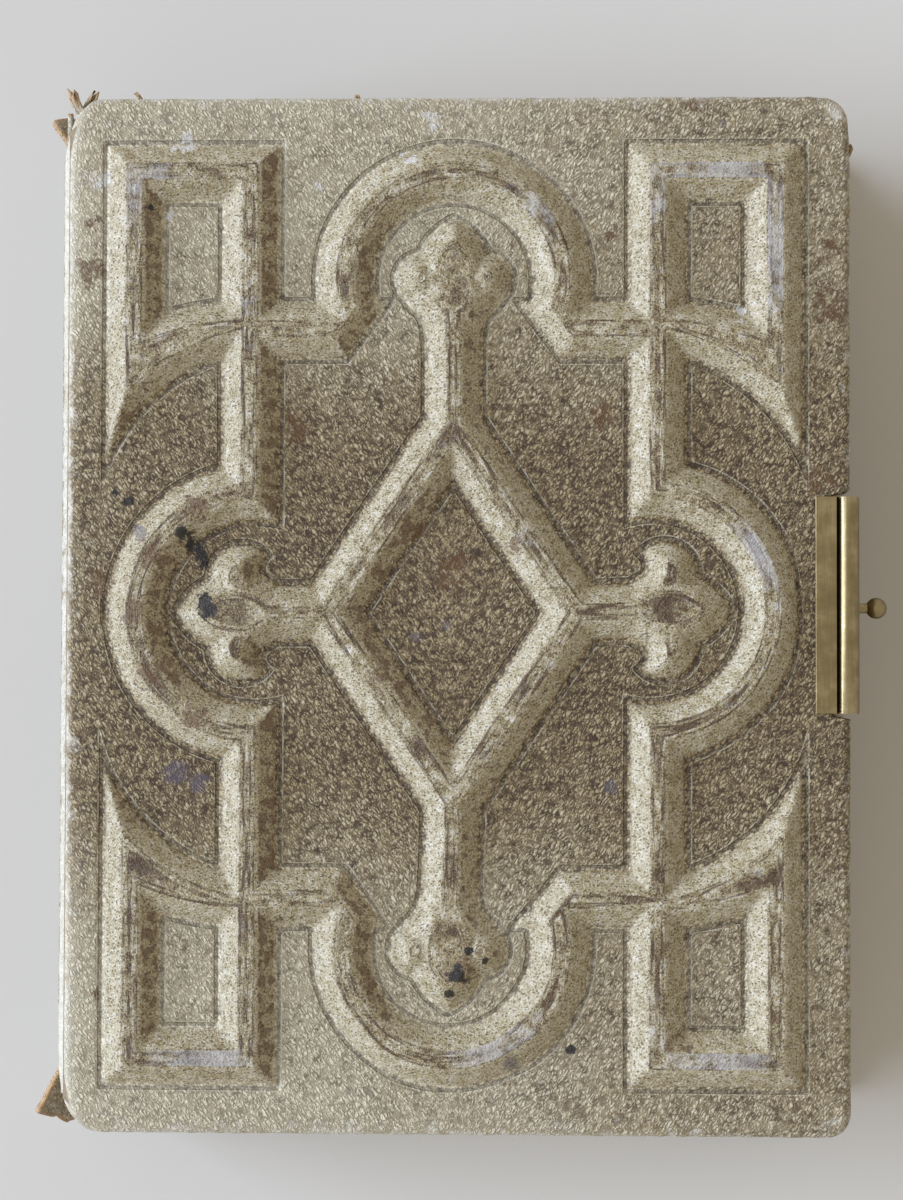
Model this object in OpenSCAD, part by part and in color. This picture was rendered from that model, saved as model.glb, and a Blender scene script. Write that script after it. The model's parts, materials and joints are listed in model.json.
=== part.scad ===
// Small prayer book in moulded leather covers, with sewn gatherings and a brass clasp. Millimetres.
// It lies on its back cover: +X points to the fore-edge, +Y to the head and +Z to the front cover.

/* [Covers] */
// Width of a cover, from spine edge to fore-edge
cover_w = 119; // [114:0.5:124]
// Height of a cover, from tail to head
cover_h = 156; // [150:0.5:162]
// Thickness of the millboard in a cover
board_t = 3.2; // [2.8:0.1:4]
// Thickness of the covering leather
leather_t = 0.8; // [0.6:0.1:1]
// Thickness of the pastedown and of the leather turned in around it
lining_t = 0.4; // [0.3:0.05:0.6]
// Width of the leather turned in around the pastedown
turn_in_w = 9; // [6:0.5:12]
// Rounding of the fore-edge corners
corner_r = 3; // [2:0.5:5]
// Rounding of a cover's outer edge along the spine
spine_r = 3.4; // [2.4:0.1:3.4]

/* [Relief] */
// Height of the raised straps above the leather ground
relief_h = 2.2; // [1.4:0.1:3]
// Width of a strap at the ground
strap_w = 8.4; // [7.4:0.1:9]
// Width of a strap's flat top
strap_top_w = 2.7; // [2:0.1:3.4]
// Distance of the upright bars from the middle
bar_x = 30.6; // [29.6:0.1:31.6]
// Distance of the level bars from the middle
bar_y = 42.6; // [41.6:0.1:43.6]
// Distance of the corner frames' outer straps from the middle, across
frame_x = 48.1; // [47.6:0.1:48.6]
// Distance of the corner frames' outer straps from the middle, up
frame_y = 66.4; // [65.4:0.1:67.4]
// Radius of the arc that closes a corner frame
sweep_r = 33.4; // [32.8:0.1:34]
// Radius of the rings beside the middle
ring_r = 18.1; // [17.6:0.1:18.6]
// Radius of the arches above and below the middle
arch_r = 16.4; // [15.9:0.1:16.9]
// Distance of an arch's centre from the middle
arch_y = 50; // [49.5:0.1:50.5]
// Half width of the lozenge, to the middle of its straps
lozenge_x = 18.7; // [18:0.1:19.4]
// Half height of the lozenge, to the middle of its straps
lozenge_y = 27.8; // [27:0.1:28.6]
// Distance of the upper and lower finials' points from the middle
finial_y = 59.5; // [59:0.1:60]
// Distance of the left and right finials' points from the middle
finial_x = 41.7; // [41:0.1:42.4]

/* [Text block] */
// Number of sewn gatherings
gathering_count = 16; // [8:1:24]
// Thickness of a gathering at its fold, swelled by the thread
fold_d = 1.5; // [1.2:0.1:2.4]
// Thickness of a gathering's leaves
leaves_t = 1.4; // [1:0.02:1.4]
// Gap between the folds of two gatherings
fold_gap = 0.25; // [0.15:0.01:0.3]
// Thickness of a flyleaf
flyleaf_t = 0.2; // [0.15:0.01:0.3]
// Amount by which the covers stand past the leaves at head and tail
head_square = 3.6; // [3:0.1:5]
// Amount by which the covers stand past the leaves at the fore-edge
fore_square = 4.2; // [3.5:0.1:6]
// Number of linen tapes that the gatherings are sewn to
tape_count = 3; // [2:1:5]
// Width of a tape
tape_w = 10; // [6:1:12]

/* [Clasp] */
// Length of the clasp along the fore-edge
clasp_l = 32.4; // [26:0.2:40]
// Height of the clasp's middle above the book's middle
clasp_y = 1.35; // [-4:0.05:4]
// Width of the strip of the catch plate that shows on the cover
strip_w = 3.15; // [2.6:0.05:4]
// Thickness of the brass plates
plate_t = 0.9; // [0.7:0.05:1]
// Thickness of the hasp's strap
hasp_t = 1; // [0.8:0.05:1.2]
// Diameter of the hasp's rolled end
roll_d = 3.35; // [3:0.05:3.6]
// Diameter of the thumb knob's ball
knob_d = 3.2; // [2.4:0.1:4]
// Diameter of the hinge pin
pin_d = 1.2; // [1:0.1:1.4]

/* [Spine] */
// How far the torn leather stands off the spine at the tail
tail_tear = 4.6; // [3:0.1:5]
// How far the torn leather stands off the spine at the head
head_tear = 2.6; // [1.5:0.1:4]
// Length of the tear at the tail
tail_tear_l = 18; // [10:0.5:22]
// Length of the tear at the head
head_tear_l = 8; // [5:0.5:12]

/* [Hidden] */
$fn = 48;
cut = 1;                                     // how far a cutting solid runs past what it cuts
far = 4 * cover_h;
fit_gap = 0.3;                               // room between pieces that move past each other
run_gap = 0.05;                              // radial clearance of the hinge pin
cover_t = lining_t + board_t + leather_t;
half_w = cover_w / 2;
half_h = cover_h / 2;
leaf_pitch = fold_d + fold_gap;
endpaper_room = 0.55;
block_t = gathering_count * leaf_pitch;
back_in_z = relief_h + cover_t;              // inner face of the back cover
block_z = back_in_z + endpaper_room;         // lowest fold of the text block
front_in_z = block_z + block_t + endpaper_room;
joint_gap = 0.1;
joint_x = -half_w - joint_gap;               // both covers turn about the spine's outer face
back_joint_z = back_in_z + joint_gap;
front_joint_z = front_in_z - joint_gap;
leaf_h = cover_h - 2 * head_square;
leaf_end_x = half_w - fore_square;
spine_in_x = -half_w + leather_t;
card_t = 0.8;
mull_t = 0.3;
tape_t = 0.3;
fold_x = spine_in_x + card_t + mull_t + tape_t + 0.1 + fold_d / 2;
strip_x = half_w - 2.2 - strip_w;            // outer edge of the strips on both covers
flange_t = 0.7;
flange_x = strip_x + strip_w;                // face of the catch plate that the hasp closes on
notch_x = flange_x - flange_t;
nail_d = 0.9;
nail_l = 14;
nail_pitch = clasp_l / 3;
roll_x = flange_x + 0.15 + roll_d / 2;
roll_z = front_in_z + cover_t + 1.1 - roll_d / 2;
hasp_x = half_w + fit_gap;
barrel_r = 1.4;
pin_x = hasp_x + barrel_r;
pin_z = relief_h - plate_t + barrel_r - 0.1;
knuckle_l = 18;
knuckle_gap = 0.15;
hasp_foot_z = pin_z + barrel_r + 0.5;
knob_y = clasp_y - 0.3;
knob_z = front_in_z - 1.9;
neck_l = 1.6;
knob_end_x = hasp_x + hasp_t + neck_l + knob_d;
tear_top_z = front_in_z - cover_t - relief_h - 0.7;
shift_x = (half_w + tail_tear + leather_t / 2 - knob_end_x) / 2;

leather_tan = "#8f7d5e";
board_grey = "#a99b85";
paper_cream = "#e6dbc0";
linen_grey = "#cfc7b2";
silk_red = "#8a4a3c";
brass_gold = "#b0955a";

function two_digits(i) = i < 10 ? str("0", i) : str(i);
function gathering_name(i) = str("gathering_", two_digits(i));

// Puts a piece in the book's frame, whose origin is under the middle of its box
module placed() {
    translate([shift_x, 0, 0]) children();
}

// A cover is drawn with its inner face at z = 0 and its relief upwards
module on_front() {
    placed() translate([0, 0, front_in_z]) children();
}

module on_back() {
    placed() translate([0, 0, back_in_z]) mirror([0, 0, 1]) children();
}

module four_quarters() {
    for (sx = [0, 1], sy = [0, 1]) mirror([sx, 0, 0]) mirror([0, sy, 0]) children();
}

module box(low, high) {
    translate(low) cube(high - low);
}

// Cover outline with round fore-edge corners
module cover_plan(inset) {
    r = corner_r - inset;
    translate([-half_w + inset, inset - half_h]) square([cover_w - 2 * inset - r, cover_h - 2 * inset]);
    translate([-half_w + inset, inset + r - half_h])
        square([cover_w - 2 * inset, cover_h - 2 * inset - 2 * r]);
    for (s = [-1, 1]) translate([half_w - inset - r, s * (half_h - inset - r)]) circle(r);
}

// Cover section, rounded along the outer spine edge
module cover_section(inset, low, high) {
    r = spine_r - inset;
    left = -half_w + inset;
    translate([left, low]) square([cover_w, high - low - r]);
    translate([left + r, low]) square([cover_w, high - low]);
    translate([left + r, high - r]) circle(r);
}

module cover_blank(inset, low, high) {
    intersection() {
        translate([0, 0, low]) linear_extrude(high - low) cover_plan(inset);
        translate([0, half_h + cut, 0]) rotate([90, 0, 0]) linear_extrude(cover_h + 2 * cut)
            cover_section(inset, low, high);
    }
}

module pastedown_panel(low, high) {
    box([-half_w + spine_r, turn_in_w - half_h, low], [half_w - turn_in_w, half_h - turn_in_w, high]);
}

// Notch in the front cover's fore-edge that the hasp's rolled end lies in
module clasp_notch() {
    half_l = clasp_l / 2 + fit_gap;
    box([notch_x, clasp_y - half_l, -cut], [half_w + cut, clasp_y + half_l, cover_t + cut]);
}

module pin_holes() {
    for (s = [-1, 0, 1]) translate([notch_x, clasp_y + s * nail_pitch, cover_t / 2])
        rotate([0, 90, 0]) cylinder(d = nail_d, h = nail_l, center = true);
}

module nail_shanks() {
    point_z = lining_t + 0.4;
    for (s = [-1, 0, 1]) translate([strip_x + strip_w / 2, clasp_y + s * nail_pitch, point_z])
        cylinder(d = nail_d, h = cover_t - point_z + plate_t);
}

strap_slope = (strap_w - strap_top_w) / 2 / relief_h;
strap_foot = leather_t / 2;                  // depth of a strap's foot in the leather
arc_drop = 0.1;                              // curved straps are pressed a little lower

// Straight strap with sloping sides and hipped ends, from p to q
module strap(p, q) {
    d = q - p;
    run = norm(d);
    b = strap_w / 2 + strap_slope * strap_foot;
    a = strap_top_w / 2;
    foot = strap_foot;
    lower = [[-b, -b, -foot], [run + b, -b, -foot], [run + b, b, -foot], [-b, b, -foot]];
    upper = [[-a, -a, relief_h], [run + a, -a, relief_h], [run + a, a, relief_h], [-a, a, relief_h]];
    translate([p.x, p.y, cover_t]) rotate(atan2(d.y, d.x)) polyhedron(
        concat(lower, upper),
        [[0, 1, 2, 3], [7, 6, 5, 4], [4, 5, 1, 0], [5, 6, 2, 1], [6, 7, 3, 2], [7, 4, 0, 3]]
    );
}

// Curved strap of the same section about a centre
module strap_arc(centre, r, from, to) {
    b = strap_w / 2 + strap_slope * strap_foot;
    a = strap_top_w / 2;
    top = relief_h - arc_drop;
    translate([centre.x, centre.y, cover_t]) rotate(from) rotate_extrude(angle = to - from)
        polygon([[r - b, -strap_foot], [r + b, -strap_foot], [r + a, top], [r - a, top]]);
}

arch_foot_a = asin((arch_y - bar_y - 2) / arch_r);
arch_foot = [arch_r * cos(arch_foot_a), arch_y - arch_r * sin(arch_foot_a)];
sweep_c = [bar_x - 5, bar_y + 1 - sqrt(pow(sweep_r, 2) - 25)];
sweep_end_a = 20;
frame_foot_y = 38;

// Room inside the outer slope of a corner frame, which cuts the swept arc to a point
module frame_side() {
    edge = frame_x + strap_w / 2 - 0.1;
    over = relief_h + cut;
    translate([0, half_h, cover_t]) rotate([90, 0, 0]) linear_extrude(half_h) polygon([
        [0, -cut],
        [edge + strap_slope * cut, -cut],
        [edge - strap_slope * over, over],
        [0, over]
    ]);
}

// Corner frames, bars, rings and arches
module strapwork() {
    four_quarters() {
        strap([bar_x, frame_y], [bar_x, ring_r]);
        strap([bar_x, bar_y], [arch_foot.x + 3, bar_y]);
        strap([arch_foot.x + 3, bar_y], arch_foot);
        strap([bar_x, frame_y], [frame_x, frame_y]);
        strap([frame_x, frame_y], [frame_x, frame_foot_y]);
        intersection() {
            strap_arc(sweep_c, sweep_r, sweep_end_a, 85);
            frame_side();
        }
    }
    for (turn = [0, 180]) rotate(turn) {
        strap_arc([bar_x, 0], ring_r, -90, 90);
        strap_arc([0, arch_y], arch_r, -arch_foot_a, 180 + arch_foot_a);
    }
}

// Fleur-de-lis end that points along +Y, with its tip at the given distance
module finial(tip) {
    lobe_r = 4.2;
    translate([0, tip - 9, cover_t - leather_t / 2]) {
        for (s = [-1, 1]) translate([s * 5.2, 0, 0])
            cylinder(r1 = lobe_r, r2 = lobe_r / 2, h = relief_h + leather_t / 2);
        translate([0, 3, 0]) cylinder(r1 = 6.4, r2 = 2.6, h = relief_h + leather_t / 2, $fn = 4);
    }
}

// Lozenge, its four stems and their finials
module cross() {
    four_quarters() strap([lozenge_x, 0], [0, lozenge_y]);
    for (turn = [0, 180]) rotate(turn) {
        strap([0, lozenge_y], [0, finial_y - 9]);
        finial(finial_y);
        rotate(-90) strap([0, lozenge_x], [0, finial_x - 9]);
        rotate(-90) finial(finial_x);
    }
}

// Pasteboard cores of the relief, narrower and lower than the leather over them
core_w = 3.6;

module core_bar(p, q) {
    d = q - p;
    half = core_w / 2;
    translate([p.x, p.y, cover_t - leather_t]) rotate(atan2(d.y, d.x))
        box([-half, -half, 0], [norm(d) + half, half, relief_h]);
}

module core_ring(centre, r) {
    translate([centre.x, centre.y, cover_t - leather_t]) difference() {
        cylinder(r = r + core_w / 2, h = relief_h);
        translate([0, 0, -cut]) cylinder(r = r - core_w / 2, h = relief_h + 2 * cut);
    }
}

module strapwork_core() {
    four_quarters() {
        core_bar([bar_x, frame_y], [bar_x, ring_r]);
        core_bar([bar_x, bar_y], [arch_foot.x + 3, bar_y]);
        core_bar([arch_foot.x + 3, bar_y], arch_foot);
        core_bar([bar_x, frame_y], [frame_x, frame_y]);
        core_bar([frame_x, frame_y], [frame_x, frame_foot_y]);
        intersection() {
            core_ring(sweep_c, sweep_r);
            box([bar_x, 0, 0], [frame_x, half_h, far]);
        }
        intersection() {
            core_ring([bar_x, 0], ring_r);
            box([bar_x, 0, 0], [half_w, half_h, far]);
        }
        intersection() {
            core_ring([0, arch_y], arch_r);
            box([0, arch_foot.y, 0], [half_w, half_h, far]);
        }
    }
}

// Lozenge with its corners at the given distances from the middle
module lozenge_plan(grow) {
    x = lozenge_x + grow;
    y = lozenge_y + grow * lozenge_y / lozenge_x;
    polygon([[x, 0], [0, y], [-x, 0], [0, -y]]);
}

module cross_core() {
    spread = core_w / 2 * norm([lozenge_x, lozenge_y]) / lozenge_y;
    translate([0, 0, cover_t - leather_t]) linear_extrude(relief_h) difference() {
        lozenge_plan(spread);
        lozenge_plan(-spread);
    }
    for (s = [-1, 1]) {
        core_bar([0, s * (lozenge_y + core_w / 2)], [0, s * (finial_y - 6)]);
        core_bar([s * (lozenge_x + core_w / 2), 0], [s * (finial_x - 6), 0]);
    }
}

module cover_leather() {
    difference() {
        union() {
            cover_blank(0, 0, cover_t);
            strapwork();
            cross();
        }
        cover_blank(leather_t, lining_t, cover_t - leather_t);
        pastedown_panel(-cut, lining_t);
        strapwork_core();
        cross_core();
    }
}

module front_leather() {
    color(leather_tan) on_front() difference() {
        cover_leather();
        clasp_notch();
    }
}

module back_leather() {
    color(leather_tan) on_back() difference() {
        cover_leather();
        nail_shanks();
    }
}

module front_board() {
    color(board_grey) on_front() difference() {
        cover_blank(leather_t, lining_t, cover_t - leather_t);
        clasp_notch();
        pin_holes();
    }
}

module back_board() {
    color(board_grey) on_back() difference() {
        cover_blank(leather_t, lining_t, cover_t - leather_t);
        nail_shanks();
    }
}

module front_fret() {
    color(board_grey) on_front() strapwork_core();
}

module back_fret() {
    color(board_grey) on_back() strapwork_core();
}

module front_cross_fret() {
    color(board_grey) on_front() cross_core();
}

module back_cross_fret() {
    color(board_grey) on_back() cross_core();
}

module front_pastedown() {
    color(paper_cream) on_front() pastedown_panel(0, lining_t);
}

module back_pastedown() {
    color(paper_cream) on_back() pastedown_panel(0, lining_t);
}

// Strip on the cover, turned down along the notch
module catch_plate() {
    ends = [clasp_y - clasp_l / 2, clasp_y + clasp_l / 2];
    color(brass_gold) on_front() difference() {
        union() {
            box([strip_x, ends[0], cover_t], [flange_x, ends[1], cover_t + plate_t]);
            box([notch_x, ends[0], lining_t], [flange_x, ends[1], cover_t + plate_t / 2]);
        }
        pin_holes();
    }
}

module catch_pins() {
    color(brass_gold) on_front() intersection() {
        pin_holes();
        box([0, -half_h, 0], [flange_x, half_h, far]);
    }
}

module knuckle(low, high, bore_d) {
    translate([pin_x, high, pin_z]) rotate([90, 0, 0]) difference() {
        cylinder(r = barrel_r, h = high - low);
        translate([0, 0, -cut]) cylinder(d = bore_d, h = high - low + 2 * cut);
    }
}

// Strap that stands along the fore-edge, with a rolled end above and a knuckle below
module hasp() {
    ends = [clasp_y - clasp_l / 2, clasp_y + clasp_l / 2];
    mid = [clasp_y - knuckle_l / 2, clasp_y + knuckle_l / 2];
    color(brass_gold) placed() difference() {
        union() {
            box([hasp_x, ends[0], hasp_foot_z], [hasp_x + hasp_t, ends[1], roll_z]);
            box([hasp_x, mid[0], pin_z], [hasp_x + hasp_t, mid[1], hasp_foot_z + cut]);
            translate([roll_x, ends[1], roll_z]) rotate([90, 0, 0]) cylinder(d = roll_d, h = clasp_l);
            translate([pin_x, mid[1], pin_z]) rotate([90, 0, 0]) cylinder(r = barrel_r, h = knuckle_l);
        }
        translate([pin_x, mid[1] + cut, pin_z]) rotate([90, 0, 0])
            cylinder(r = pin_d / 2 + run_gap, h = knuckle_l + 2 * cut);
        translate([hasp_x - cut, knob_y, knob_z]) rotate([0, 90, 0]) cylinder(r = 0.6, h = hasp_t + 2 * cut);
    }
}

// Ball on a waisted neck, riveted through the hasp
module thumb_knob() {
    ball_r = knob_d / 2;
    neck_r = 0.75;
    ball_x = hasp_t + neck_l + ball_r;
    neck_end = ball_x - sqrt(pow(ball_r, 2) - pow(neck_r, 2));
    color(brass_gold) placed() translate([hasp_x, knob_y, knob_z]) rotate([0, 90, 0]) rotate_extrude() {
        translate([0, -0.2]) square([1.1, 0.2]);
        translate([0, -0.2]) square([0.6, hasp_t + 0.4]);
        translate([0, hasp_t]) square([1.25, 0.45]);
        translate([0, hasp_t]) square([neck_r, neck_end - hasp_t + 0.2]);
        intersection() {
            translate([0, ball_x]) circle(ball_r);
            translate([0, hasp_t]) square(far);
        }
    }
}

// Strip under the back cover, with a knuckle at each end for the hasp's pin
module hinge_plate() {
    ends = [clasp_y - clasp_l / 2, clasp_y + clasp_l / 2];
    gap = knuckle_l / 2 + knuckle_gap;
    low_z = relief_h - plate_t;
    color(brass_gold) placed() difference() {
        union() {
            box([strip_x, ends[0], low_z], [half_w, ends[1], relief_h]);
            for (part = [[ends[0], clasp_y - gap], [clasp_y + gap, ends[1]]]) {
                difference() {
                    box([half_w - cut, part[0], low_z], [pin_x, part[1], relief_h]);
                    translate([pin_x, part[1] + cut, pin_z]) rotate([90, 0, 0])
                        cylinder(r = barrel_r - 0.2, h = part[1] - part[0] + 2 * cut);
                }
                knuckle(part[0], part[1], pin_d);
            }
        }
        translate([0, 0, back_in_z]) mirror([0, 0, 1]) nail_shanks();
    }
}

module hinge_pin() {
    color(brass_gold) placed() translate([pin_x, clasp_y + clasp_l / 2, pin_z]) rotate([90, 0, 0]) {
        cylinder(d = pin_d, h = clasp_l);
        for (end = [-0.3, clasp_l]) translate([0, 0, end]) cylinder(d = pin_d + 0.5, h = 0.3);
    }
}

module hinge_nails() {
    color(brass_gold) on_back() nail_shanks();
}

// Triangle of spine leather between three corners, as [y, z]
module tear_plan(corners, t) {
    translate([-half_w - t / 2, 0, 0]) rotate([90, 0, 90]) linear_extrude(t) polygon(corners);
}

// The same triangle lifted off the spine at its free corner
module lifted_tear(corners, lift) {
    hull() for (i = [0 : 2]) {
        x = -half_w - (i == 1 ? lift : leather_t / 2);
        translate([x, corners[i][0], corners[i][1]]) cube([leather_t, 0.4, 0.4], center = true);
    }
}

tail_tear_plan = [
    [-half_h + tail_tear_l, tear_top_z],
    [-half_h + 0.5, tear_top_z],
    [-half_h + 0.5, block_z + 5]
];
head_tear_plan = [
    [half_h - head_tear_l, tear_top_z],
    [half_h - 0.5, tear_top_z],
    [half_h - 0.5, tear_top_z - 9]
];

module spine_leather() {
    top_z = front_in_z - 0.3;
    color(leather_tan) placed() {
        difference() {
            box([-half_w, -half_h, back_in_z + 0.3], [spine_in_x, half_h, top_z]);
            for (tear = [tail_tear_plan, head_tear_plan]) {
                tear_plan(tear, 4 * leather_t);
                tear_plan([tear[0], tear[1] + [0, 2 * cover_t], tear[1]], 4 * leather_t);
            }
        }
        lifted_tear(tail_tear_plan, tail_tear);
        lifted_tear(head_tear_plan, head_tear);
    }
}

module spine_card() {
    color(board_grey) placed()
        box([spine_in_x, -leaf_h / 2, block_z], [spine_in_x + card_t, leaf_h / 2, block_z + block_t]);
}

module spine_mull() {
    x = spine_in_x + card_t;
    half_l = leaf_h / 2 - 5;
    color(linen_grey) placed() box([x, -half_l, block_z + 1], [x + mull_t, half_l, block_z + block_t - 1]);
}

module sewing_tapes() {
    x = spine_in_x + card_t + mull_t;
    step = leaf_h / (tape_count + 1);
    color(linen_grey) placed() for (i = [1 : tape_count]) {
        y = -leaf_h / 2 + i * step;
        box([x, y - tape_w / 2, block_z + 1], [x + tape_t, y + tape_w / 2, block_z + block_t - 1]);
    }
}

module end_band(side) {
    band_r = 0.9;
    color(silk_red) placed() translate([fold_x - 0.6, side * (leaf_h / 2 + 0.2 + band_r), block_z])
        cylinder(r = band_r, h = block_t);
}

module head_band() {
    end_band(1);
}

module tail_band() {
    end_band(-1);
}

// Strip of leather that flexes where a cover meets the spine
module joint_strip(z) {
    half_l = 2.4;
    color(leather_tan) placed() box(
        [-half_w - 0.6, -half_h + tail_tear_l + 1, z - half_l],
        [-half_w, half_h - head_tear_l - 1, z + half_l]
    );
}

module front_joint_leather() {
    joint_strip(front_joint_z);
}

module back_joint_leather() {
    joint_strip(back_joint_z);
}

module flyleaf(z) {
    half_t = flyleaf_t / 2;
    color(paper_cream) placed() box([fold_x, -leaf_h / 2, z - half_t], [leaf_end_x, leaf_h / 2, z + half_t]);
}

module front_flyleaf() {
    flyleaf(front_in_z - endpaper_room / 2);
}

module back_flyleaf() {
    flyleaf(back_in_z + endpaper_room / 2);
}

// Folded leaves, counted from the front cover, that turn about their fold
module gathering(i) {
    z = block_z + block_t - (i - 0.5) * leaf_pitch;
    color(paper_cream) placed() translate([fold_x, leaf_h / 2, z]) rotate([90, 0, 0]) linear_extrude(leaf_h) {
        circle(d = fold_d);
        translate([0, -leaves_t / 2]) square([leaf_end_x - fold_x, leaves_t]);
    }
}

front_leather();
front_board();
front_fret();
front_cross_fret();
front_pastedown();
catch_plate();
catch_pins();
hasp();
thumb_knob();
hinge_plate();
hinge_pin();
hinge_nails();
back_leather();
back_board();
back_fret();
back_cross_fret();
back_pastedown();
spine_leather();
spine_card();
spine_mull();
sewing_tapes();
head_band();
tail_band();
front_joint_leather();
back_joint_leather();
front_flyleaf();
back_flyleaf();
for (i = [1 : gathering_count]) {
    gathering(i);
}
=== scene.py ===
import bpy
import functools
import json
import math
import numpy as np
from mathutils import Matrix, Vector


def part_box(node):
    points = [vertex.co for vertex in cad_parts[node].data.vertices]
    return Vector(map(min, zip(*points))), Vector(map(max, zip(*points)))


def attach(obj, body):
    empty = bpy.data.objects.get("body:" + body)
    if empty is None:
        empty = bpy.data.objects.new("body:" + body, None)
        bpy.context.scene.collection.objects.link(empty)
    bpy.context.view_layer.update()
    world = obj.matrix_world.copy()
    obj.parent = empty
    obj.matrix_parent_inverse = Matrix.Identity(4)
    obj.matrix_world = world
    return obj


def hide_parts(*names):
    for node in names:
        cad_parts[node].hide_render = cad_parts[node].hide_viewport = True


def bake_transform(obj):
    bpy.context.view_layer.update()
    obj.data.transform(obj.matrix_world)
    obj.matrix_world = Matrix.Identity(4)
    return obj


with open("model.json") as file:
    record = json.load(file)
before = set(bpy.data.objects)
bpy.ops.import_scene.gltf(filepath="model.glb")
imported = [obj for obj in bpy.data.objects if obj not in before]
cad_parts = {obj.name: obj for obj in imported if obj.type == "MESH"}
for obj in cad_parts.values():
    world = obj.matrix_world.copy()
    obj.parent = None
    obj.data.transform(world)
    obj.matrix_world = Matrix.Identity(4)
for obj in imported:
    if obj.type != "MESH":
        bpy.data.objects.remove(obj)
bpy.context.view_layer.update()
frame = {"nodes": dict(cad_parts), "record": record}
nodes = frame["nodes"]
bodies = frame["record"]["behaviour"]["bodies"]
bodyOf = {node: body for body, group in bodies.items() for node in group}
mm = 0.001  # pieces are drawn in millimetres and stored in metres
print("frame loaded:", len(nodes), "nodes")


def boxMm(node):
    low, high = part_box(node)
    return np.array(low) / mm, np.array(high) / mm


def smooth(value, start, end):  # 0 before start, 1 after end, eased between
    t = np.clip((value - start) / (end - start), 0, 1)
    return t * t * (3 - 2 * t)


def valueNoise(u, v, seed):  # smooth noise from 0 to 1, one cell per unit
    cells = 64
    table = np.random.default_rng(seed).random((cells, cells))
    iu, iv = np.floor(u).astype(int), np.floor(v).astype(int)
    fu, fv = smooth(u - iu, 0, 1), smooth(v - iv, 0, 1)
    rows = []
    for k in (0, 1):
        left, right = (table[(iu + side) % cells, (iv + k) % cells] for side in (0, 1))
        rows.append(left * (1 - fu) + right * fu)
    return rows[0] * (1 - fv) + rows[1] * fv


def roughNoise(u, v, seed):  # three octaves
    octaves = (1, 2, 4)
    return sum(valueNoise(u * k, v * k, seed + k) / k for k in octaves) / sum(1 / k for k in octaves)


def edgeNoise(u, size, shift, row, seed):  # the same along one line, for ragged edges
    return roughNoise(u / size + shift, np.full_like(u, row), seed)


def ripple(u, v, wave, seed=0):  # unevenness in mm, from its height, two sizes, a shift and its own seed
    height, sizeU, sizeV, shift, own = wave
    return height * (roughNoise(u / sizeU + shift, v / sizeV + shift, seed + own) - 0.5)


def gridFaces(n, m):  # quads of a grid of points, and its border points in order
    index = np.arange(n * m).reshape(n, m)
    quads = np.stack([index[:-1, :-1], index[1:, :-1], index[1:, 1:], index[:-1, 1:]], -1).reshape(-1, 4)
    ring = np.concatenate([index[:, 0], index[-1, 1:], index[-2::-1, -1], index[0, -2:0:-1]])
    return quads, ring


asDrawn, turnedOver = [0, 1, 2, 3], [0, 3, 2, 1]  # order of a quad's corners


def sheetFaces(n, m, order):  # two grids back to back, closed round their border
    quads, ring = gridFaces(n, m)
    after = np.roll(ring, -1)
    front = quads[:, order]
    walls = np.stack([ring, ring + n * m, after + n * m, after], -1)[:, order]
    return np.concatenate([front, front[:, ::-1] + n * m, walls]).tolist()


def tubeFaces(rows, n, base=0):  # quads round rows of n points
    starts = [(base + k * n + j, base + k * n + (j + 1) % n) for k in range(rows - 1) for j in range(n)]
    return [(a, b, b + n, a + n) for a, b in starts]


def makePiece(name, points, faces, material, body, stoodFor=(), marks=None, flat=False):
    mesh = bpy.data.meshes.new(name)
    mesh.from_pydata((np.asarray(points) * mm).tolist(), [], faces)
    mesh.polygons.foreach_set("use_smooth", [not flat] * len(mesh.polygons))
    for key, values in (marks or {}).items():
        layer = mesh.attributes.new(key, "FLOAT_COLOR", "POINT")
        layer.data.foreach_set("color", np.asarray(values, np.float32).ravel())
    mesh.materials.append(material)
    piece = bpy.data.objects.new(name, mesh)
    bpy.context.scene.collection.objects.link(piece)
    if body:
        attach(piece, body)
    if stoodFor:
        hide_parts(*stoodFor)
    return piece


def addWeld(piece, reach):
    weld = piece.modifiers.new("weld", "WELD")
    weld.merge_threshold = reach * mm


def addSkin(piece, thick):  # gives a drawn sheet its thickness
    skin = piece.modifiers.new("skin", "SOLIDIFY")
    skin.thickness = thick * mm
    skin.offset = -1


# materials
def linear(hexColour):  # sRGB hex to linear RGBA
    parts = [int(hexColour[i:i + 2], 16) / 255 for i in (1, 3, 5)]
    return tuple(c / 12.92 if c <= 0.04045 else ((c + 0.055) / 1.055) ** 2.4 for c in parts) + (1.0,)


def addNode(tree, kind, inputs=None, out=0, stops=None, **settings):  # adds a node, gives one output back
    node = tree.nodes.new("ShaderNode" + kind)
    for key, value in settings.items():
        setattr(node, key, value)
    for socket, value in (inputs or {}).items():
        if isinstance(value, bpy.types.NodeSocket):
            tree.links.new(value, node.inputs[socket])
        else:
            node.inputs[socket].default_value = value
    if stops:
        ramp = node.color_ramp
        while len(ramp.elements) < len(stops):
            ramp.elements.new(1.0)
        for element, (place, colour) in zip(ramp.elements, stops):
            element.position = place
            element.color = linear(colour)
    return node.outputs[out] if len(node.outputs) else node


def nodeAdder(owner):  # clears the nodes of a material or world, gives back what adds new ones to it
    owner.use_nodes = True
    owner.node_tree.nodes.clear()
    return functools.partial(addNode, owner.node_tree)


def newMaterial(name):
    material = bpy.data.materials.new(name)
    add = nodeAdder(material)
    return material, add, add("TexCoord", out="Object")


def addShares(add, field, shares, total=0.0):  # the total plus a share of each named field
    for key, share in shares.items():
        total = add("Math", {0: field[key], 1: share, 2: total}, operation="MULTIPLY_ADD")
    return total


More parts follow.
